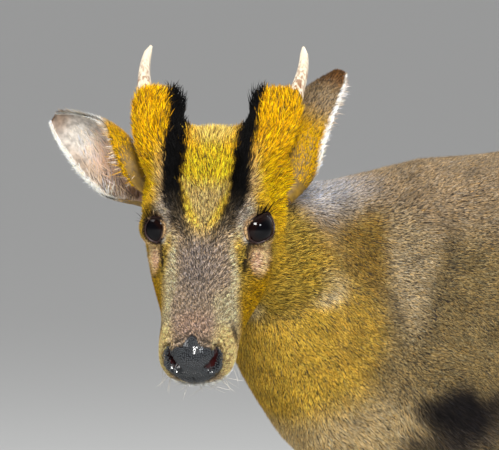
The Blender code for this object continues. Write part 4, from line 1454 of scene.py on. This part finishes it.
# The photo's size and the middle between its eyes in pixels, and a pixel's size at the head.
PHOTO_SIZE = (499, 450)
PHOTO_SCALE = 0.00068
PHOTO_EYES = (207.5, 229.0)
FILM_WIDTH = 36
CAMERA_AWAY = 4.5
CAMERA_ROUND = math.radians(55)
CAMERA_HIGH = math.radians(5)


def camera_axes():
    """The camera's right, its up and its back, away from what it sees."""
    sine, cosine = math.sin(CAMERA_ROUND), math.cos(CAMERA_ROUND)
    level = math.cos(CAMERA_HIGH)
    back = Vector((sine * level, -cosine * level, math.sin(CAMERA_HIGH)))
    right = Vector((cosine, sine, 0))
    return right, back.cross(right), back


def make_camera():
    """A camera at the photo's angle, with the photo's middle and its scale at the head."""
    right, up, back = camera_axes()
    aside = (PHOTO_SIZE[0] / 2 - PHOTO_EYES[0]) * PHOTO_SCALE
    above = (PHOTO_EYES[1] - PHOTO_SIZE[1] / 2) * PHOTO_SCALE
    target = HEAD_PLACE + right * aside + up * above
    data = bpy.data.cameras.new("camera")
    data.sensor_width = FILM_WIDTH
    data.lens = FILM_WIDTH * CAMERA_AWAY / (PHOTO_SIZE[0] * PHOTO_SCALE)
    data.clip_end = 60
    made = scene_object("camera", data)
    made.matrix_world = Matrix.LocRotScale(target + back * CAMERA_AWAY,
                                           Matrix((right, up, back)).transposed(), None)
    bpy.context.scene.camera = made


def area_light(name, place, size, power, colour):
    """A rectangle of light that faces the head."""
    data = bpy.data.lights.new(name, "AREA")
    data.shape = "RECTANGLE"
    data.size, data.size_y = size
    data.energy = power
    data.color = colour
    made = scene_object(name, data)
    turn = (HEAD_PLACE - place).to_track_quat("-Z", "Y")
    made.matrix_world = Matrix.LocRotScale(place, turn, None)


def lit_from(turn, rise, away):
    """A place seen from the head at so many degrees right of the camera and above it."""
    right, up, back = camera_axes()
    turn, rise = math.radians(turn), math.radians(rise)
    level = right * math.sin(turn) + back * math.cos(turn)
    return HEAD_PLACE + (level * math.cos(rise) + up * math.sin(rise)) * away


# By name: degrees right of the camera and above it, width and height, watts and colour.
LIGHTS = {
    "key": (7, 24, (0.58, 0.46), 60, (1.0, 0.98, 0.95)),
    "fill": (38, 16, (0.36, 0.28), 15, (0.95, 0.97, 1.0)),
    "side": (-60, 40, (1.2, 1.0), 24, (1.0, 0.99, 0.97)),
    "rim": (150, 42, (1.0, 1.0), 28, (0.95, 0.98, 1.0)),
}
LIGHT_AWAY = 2.2
SKY = [(0.0, (0.2, 0.2, 0.21)), (0.5, (0.66, 0.67, 0.69)), (0.9, (1.0, 1.0, 1.0))]
SKY_STRENGTH = 0.84


def make_lights():
    """Four soft lamps, and a sky that is brightest high up beyond the animal."""
    for name, (turn, rise, *looks) in LIGHTS.items():
        area_light(name, lit_from(turn, rise, LIGHT_AWAY), *looks)
    world = bpy.data.worlds.new("studio")
    bpy.context.scene.world = world
    world.use_nodes = True
    tree = world.node_tree
    _, up, back = camera_axes()
    way = add_node(tree, "ShaderNodeTexCoord").outputs["Generated"]
    high = vector_maths(tree, "DOT_PRODUCT", way, (up - back).normalized(), "Value")
    background = tree.nodes["Background"]
    link(tree, ramp(tree, high, SKY), background.inputs["Color"])
    background.inputs["Strength"].default_value = SKY_STRENGTH
    bpy.context.scene.view_settings.view_transform = "Standard"


def floor_material():
    material, tree, shader = nodes_of("floor")
    set_shader(tree, shader, (0.52, 0.52, 0.51), Roughness=0.8)
    return material


def make_floor():
    """A wide pale floor at the height of the feet."""
    mesh = bpy.data.meshes.new("floor")
    bm = bmesh.new()
    bmesh.ops.create_grid(bm, x_segments=2, y_segments=2, size=12)
    bm.to_mesh(mesh)
    bm.free()
    made = scene_object("floor", mesh)
    mesh.materials.append(floor_material())


# The animal

def ear_colours(places, turns, outer):
    """An ear's colours: ochre at the back with a dark tip, pale inside with pink and brown."""
    ones = np.ones(len(places))
    layers = Layers(len(places))
    lay = layers.lay
    if outer:
        lay(TEMPLE * 0.8, ones, 0.16, 0.4)
        lay(BACK * 0.9, ease(0.42, 0.66, places), 0.36, 0.4)
        lay(LEG_BROWN * 0.8, ease(0.74, 0.94, places), 0.5, 0.2)
    else:
        lay(EAR_PALE, ones, 0.03, 0.0)
        hollow = ease(0.7, 0.34, places) * ease(0.95, 0.3, np.abs(turns))
        lay(EAR_PINK, hollow * 0.75, 0.03)
        lay(EAR_TAN, ease(0.45, 0.8, -turns) * ease(0.92, 0.6, places) * 0.6, 0.2)
        lay(EAR_BROWN, ease(0.82, 0.95, places) * 0.8, 0.3)
    rim = np.where(turns > 0, ease(0.45, 0.65, places), ease(0.05, 0.2, places))
    lay(WHITE * 1.1, ease(0.86, 0.96, np.abs(turns)) * rim, 0.0, 0.0)
    lay(TEMPLE * 0.8, ease(0.84, 0.94, turns) * ease(0.6, 0.4, places), 0.2, 0.4)
    return layers


def ear_patch(places, turns, outer):
    """The ear's own unwrap: the place along it, and the turn across each face side by side."""
    middle = np.where(outer, 0.25, 0.75)
    return np.stack((middle + 0.235 * turns, 0.04 + 0.92 * places), 1)


# An ear's hair by kind: count, whether outside, place low and high, turn low and high, length,
# width, lift and spread of the lie. The fringes have turns of one sign.
EAR_HAIRS = (
    (12000, True, 0.02, 0.99, -0.99, 0.99, 0.0046, 0.0007, 0.24, 0.25),
    (4600, False, 0.08, 0.93, -0.92, 0.92, 0.0095, 0.0005, 0.14, 0.25),
    (2000, False, 0.06, 0.99, 0.9, 1.0, 0.0036, 0.0006, 0.26, 0.45),
    (2000, False, 0.06, 0.99, -1.0, -0.9, 0.0036, 0.0006, 0.26, 0.45),
    (800, False, 0.04, 0.3, -0.95, 0.95, 0.015, 0.0008, 0.5, 0.4),
)


def ear_lie(side, places, turns, outer, rim):
    """Roots on an ear's sheet, the way out of it, and the lie of the hair there."""
    points, inward = ear_surface(side, places, turns)
    ahead, _ = ear_surface(side, places + 0.01, turns)
    beside, _ = ear_surface(side, places, turns + 0.01)
    rise, across = unit(ahead - points), unit(beside - points)
    if rim:
        lie = unit(rise * 0.8 + across * np.sign(turns)[:, None] * 0.75)
    elif outer:
        lie = unit(rise + across * (0.35 * turns)[:, None])
    else:
        lie = unit(rise * 0.75 - across * (0.55 * SIDES[side]))
    normal = -inward if outer else inward
    return points, normal, laid_flat(lie, normal)


def put_together(*kinds):
    """Joins the rows of each kind of list, column by column."""
    return [[np.concatenate(column) for column in zip(*rows)] for rows in kinds]


def ear_coat(side, material, rng):
    """Fur on the back of an ear, long pale hairs inside it, and a fringe round the rim."""
    roots, shapes, colours, patches = [], [], [], []
    for count, outer, first, last, low, high, length, width, lift, spread in EAR_HAIRS:
        places = first + (last - first) * rng.random(count)
        turns = low + (high - low) * rng.random(count)
        points, normal, lie = ear_lie(side, places, turns, outer, low * high > 0.5)
        lie = turned_about(lie, normal, spread * rng.normal(size=count))
        layers = ear_colours(places, turns, outer)
        hair = np.clip(layers.colour * HAIR_GAIN, 0, 1)
        colours.append(tuft_colours(points, hair, hair * 0.45, layers.dark, layers.ringed, rng,
                                    spread=0.1))
        reach = length * rng.uniform(0.75, 1.25, count) * (1 - 0.35 * ease(0.7, 1.0, places))
        roots.append((points + normal * EAR_SKIN, normal, lie))
        shapes.append((reach, np.full(count, width), lift * rng.uniform(0.5, 1.5, count),
                       np.full(count, EAR_SINK)))
        patches.append(ear_patch(places, turns, outer))
    planted("coat_ear_" + side, blades, *put_together(roots, shapes, colours),
            np.concatenate(patches), material)


def joined_hairs(name, kinds, material, rng):
    """Long single hairs in one piece. Each kind is rows of root, normal and direction."""
    roots, shapes, colours = [], [], []
    for rows, size, width, lift, tone in kinds:
        count = len(rows)
        roots.append([np.array(column) for column in zip(*rows)])
        shapes.append((size * rng.uniform(0.75, 1.2, count), np.full(count, width),
                       lift * rng.uniform(0.8, 1.2, count), np.full(count, STRAND_SINK)))
        hair = np.tile(tone, (count, 1))
        colours.append((hair, hair * 0.8, np.zeros(count)))
    roots, shapes, colours = put_together(roots, shapes, colours)
    uv = round_axis(roots[0], *local_axis((0, -0.02, -0.02), (0, 1, 0), -0.095, 0.045))
    planted(name, strands, roots, shapes, colours, uv, material)


def lash_rows(sign, low, high, count, rng):
    """Roots of lashes along part of a lid's edge, low and high as turns round the opening."""
    back, rise, out = eye_frame(sign)
    rows = []
    for turn in np.radians(np.linspace(low, high, count) + rng.normal(size=count)):
        local = over_lid(turn, sign, 0.0, LID_THICK)
        normal = unit(back * math.cos(turn) + rise * math.sin(turn))
        lie = unit(out + 0.12 * rng.normal(size=3))
        lie = unit(lie - normal * (lie @ normal))
        rows.append((from_head(local), normal @ HEAD_MATRIX.T, lie @ HEAD_MATRIX.T))
    return rows


def whisker_rows(coat, middle, radii, count, away, rng):
    """Roots on the skin inside an ellipsoid of the head, on both sides, pointing one way."""
    local = coat.local
    inside = blob(folded(local), middle, radii, 0.01)
    places = np.flatnonzero((inside > 0.5) & (coat.bare < 0.3))
    rows = []
    for k in rng.choice(places, count, replace=False):
        normal = coat.normals[k]
        way = np.array(away) * (np.sign(local[k, 0]), 1, 1) + 0.25 * rng.normal(size=3)
        lie = laid_flat((way @ HEAD_MATRIX.T)[None], normal[None])[0]
        rows.append((coat.points[k], normal, lie))
    return rows


HAIR_BLACK = paint(14, 11, 10)
HAIR_PALE = paint(226, 220, 208)
# Lashes by turns round the opening: low, high, count, length, width and lift.
LASHES = ((10, 150, 30, 0.0085, 0.00036, 0.75), (20, 75, 12, 0.0125, 0.0006, 1.05),
          (195, 330, 14, 0.0035, 0.00022, 0.55))
# Whiskers of the lip, the chin and the brow: middle, radii, count, way, length, lift and colour.
WHISKERS = (
    ((0.02, -0.088, -0.05), (0.009, 0.012, 0.008), 14, (0.5, 0.1, -0.9), 0.02, 0.5, HAIR_PALE),
    ((0.006, -0.096, -0.06), (0.01, 0.012, 0.006), 16, (0.2, 0.0, -1.0), 0.017, 0.6, HAIR_PALE),
    ((0.028, -0.004, 0.02), (0.008, 0.01, 0.008), 7, (0.3, 0.7, 0.7), 0.012, 0.4, HAIR_BLACK),
)
WHISKER_WIDTH = 0.0004


def long_hairs(coat, material, rng):
    """Lashes, whiskers, and the long hairs of the brow and chin."""
    kinds = [(lash_rows(sign, low, high, count, rng), *sizes, HAIR_BLACK)
             for sign in SIDES.values() for low, high, count, *sizes in LASHES]
    for middle, radii, count, away, size, lift, tone in WHISKERS:
        rows = whisker_rows(coat, middle, radii, count, away, rng)
        kinds.append((rows, size, WHISKER_WIDTH, lift, tone))
    joined_hairs("coat_whiskers", kinds, material, rng)


def lid_tones(local, colour):
    """The bare skin of the lids: tan above the eye and dark at its edge."""
    for sign in SIDES.values():
        u, v, w = (from_eye(local, sign) @ axis for axis in eye_frame(sign))
        near = (eye_away(local, sign) < 0.02) & (w > 0)
        edge = lid_edge(u, v, sign)
        front = ease(0.0, 0.003, v) * ease(0.01, 0.004, u)
        colour = mix(colour, LID, near * ease(0.0016, 0.0006, edge))
        colour = mix(colour, BUFF * 1.5, near * front * ease(0.0034, 0.0026, edge))
        colour = mix(colour, LID * 0.5, near * ease(0.0, -0.0004, edge))
    return colour


def make_skin():
    """The skin object with its attributes and materials, and the coat that reads it."""
    points, faces = make_skin_arrays()
    coat = Coat(points, faces)
    leather = nose_leather(coat.local)[faces].mean(1) > 0.5
    parts = [(points, faces, lid_tones(coat.local, coat.under * 0.8), leather.astype(int))]
    rim_points, rim_faces = lid_rims()
    parts.append((rim_points, rim_faces, np.tile(LID, (len(rim_points), 1)),
                  np.full(len(rim_faces), 2)))
    for side in SIDES:
        shell, shell_faces, places, turns = ear_shell(side)
        half = len(shell) // 2
        inner = ear_colours(places[:half], turns[:half], False).colour
        outer = ear_colours(places[half:], turns[half:], True).colour
        parts.append((shell, shell_faces, np.concatenate((inner, outer * 0.5)),
                      np.full(len(shell_faces), 3)))
    starts = np.cumsum([0] + [len(part[0]) for part in parts])
    all_points, hairs, slots = (np.concatenate([part[k] for part in parts]) for k in (0, 2, 3))
    all_faces = np.concatenate([part[1] + start for part, start in zip(parts, starts)])
    # Where the nostrils' lining is painted dark as shade.
    inside = np.zeros(len(all_points))
    inside[:len(points)] = nostril_share(coat.local)
    mesh = plain_mesh("skin", all_points, all_faces)
    set_point_colours(mesh, "hair", hairs)
    set_point_values(mesh, "inside", inside)
    for material in (hide_material(), leather_material(), lid_material(), ear_material()):
        mesh.materials.append(material)
    mesh.polygons.foreach_set("material_index", slots.astype(np.int32))
    skin = scene_object("skin", mesh)
    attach(skin, "root")
    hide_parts(*FLESH, "ear_left", "ear_right")
    print("skin", len(mesh.polygons), "triangles")
    pebbles(points, faces)
    return coat


def local_axis(middle, direction, low, high):
    """An axis given in the head's own axes, for an unwrap."""
    return from_head(middle), np.array(direction) @ HEAD_MATRIX.T, low, high


# Where the pieces of the coat meet: behind the face, behind the neck, and between the legs.
FACE_BACK = -0.012
TRUNK_FRONT = -0.03
LEGS_APART = 0.06


def coat_places(coat):
    """Which points of the skin each part of the coat grows from, by the part's name."""
    shares, local, points = coat.shares, coat.local, coat.points
    head, pedicle, leg, tail = (shares[name] > 0.5 for name in ("head", "pedicle", "leg", "tail"))
    rest = ~(head | pedicle)
    face = head & (local[:, 1] < FACE_BACK)
    front = points[:, 1] < TRUNK_FRONT
    body = rest & ~leg & ~tail
    where = {"face": face, "crown": head & ~face, "neck": body & front, "trunk": body & ~front,
             "tail": rest & tail}
    for side, sign in SIDES.items():
        where["pedicle_" + side] = pedicle & (np.sign(local[:, 0]) == sign)
        for leg_name, fore in (("foreleg_", True), ("hindleg_", False)):
            there = (points[:, 1] < LEGS_APART) == fore
            where[leg_name + side] = rest & leg & there & (np.sign(points[:, 0]) == sign)
    return where


def grow_coat(coat, material):
    """The whole coat in pieces, finest on the face and feet."""
    rng = np.random.default_rng(SEED)
    where = coat_places(coat)

    def part(name, cover, slim, lift, axis, **more):
        grow(coat, "coat_" + name, where[name].astype(float), cover, slim, lift, material, axis,
             rng, **more)

    head_axis = local_axis((0, 0, -0.02), (0, 1, 0), -0.12, 0.12)
    part("face", 2.6, 10.5, 0.26, head_axis, spread=0.42, deep=(0.02, 0.14))
    part("crown", 2.4, 17.0, 0.36, head_axis, spread=0.44, deep=(0.02, 0.16))
    for side, sign in SIDES.items():
        start, end = (np.array(mirrored(PEDICLE_LINE, sign))[k] for k in (2, -1))
        axis = local_axis(start, end - start, -0.01, 0.11)
        part("pedicle_" + side, 3.4, 17.0, 0.52, axis, make=leaves, sway=0.22, spread=0.3)
        ear_coat(side, material, rng)
    body_axis = ((0, 0, 0.36), (0, 1, 0), -0.34, 0.36)
    part("neck", 2.5, 13.5, 0.26, body_axis, spread=0.2, deep=(0.25, 0.55))
    part("trunk", 1.9, 13.5, 0.28, body_axis, spread=0.2, deep=(0.25, 0.55))
    for name in LEGS:
        sign = SIDES[name.split("_")[1]]
        back = FRONT_LEGS_Y if name.startswith("fore") else BACK_LEGS_Y
        part(name, 1.9, 12.0, 0.26, ((sign * 0.048, back, 0), (0, 0, 1), 0.0, 0.3))
    part("tail", 3.0, 13.0, 0.3, ((0, 0.36, 0.4), (0, 0, 1), -0.1, 0.08), make=leaves)
    long_hairs(coat, material, rng)


def make_eyes():
    """A smooth ball in the place of each faceted one."""
    for side, sign in SIDES.items():
        bm = bmesh.new()
        bmesh.ops.create_uvsphere(bm, u_segments=64, v_segments=40, radius=EYE_RADIUS)
        bmesh.ops.translate(bm, verts=bm.verts, vec=from_head(EYE_AT * (sign, 1, 1)))
        mesh = bpy.data.meshes.new("eyeball_" + side)
        bm.to_mesh(mesh)
        bm.free()
        mesh.polygons.foreach_set("use_smooth", np.ones(len(mesh.polygons), bool))
        mesh.materials.append(eye_material(side))
        made = scene_object("eyeball_" + side, mesh)
        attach(made, "root")
        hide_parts("eye_" + side)


def finish_nodes():
    """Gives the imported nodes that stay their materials."""
    antler, hoof = antler_material(), hoof_material()
    for name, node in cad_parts.items():
        node.data.materials.clear()
        node.data.materials.append(antler if name.startswith("antler") else hoof)


def main():
    make_camera()
    make_lights()
    make_floor()
    make_eyes()
    coat = make_skin()
    grow_coat(coat, coat_material())
    finish_nodes()


main()
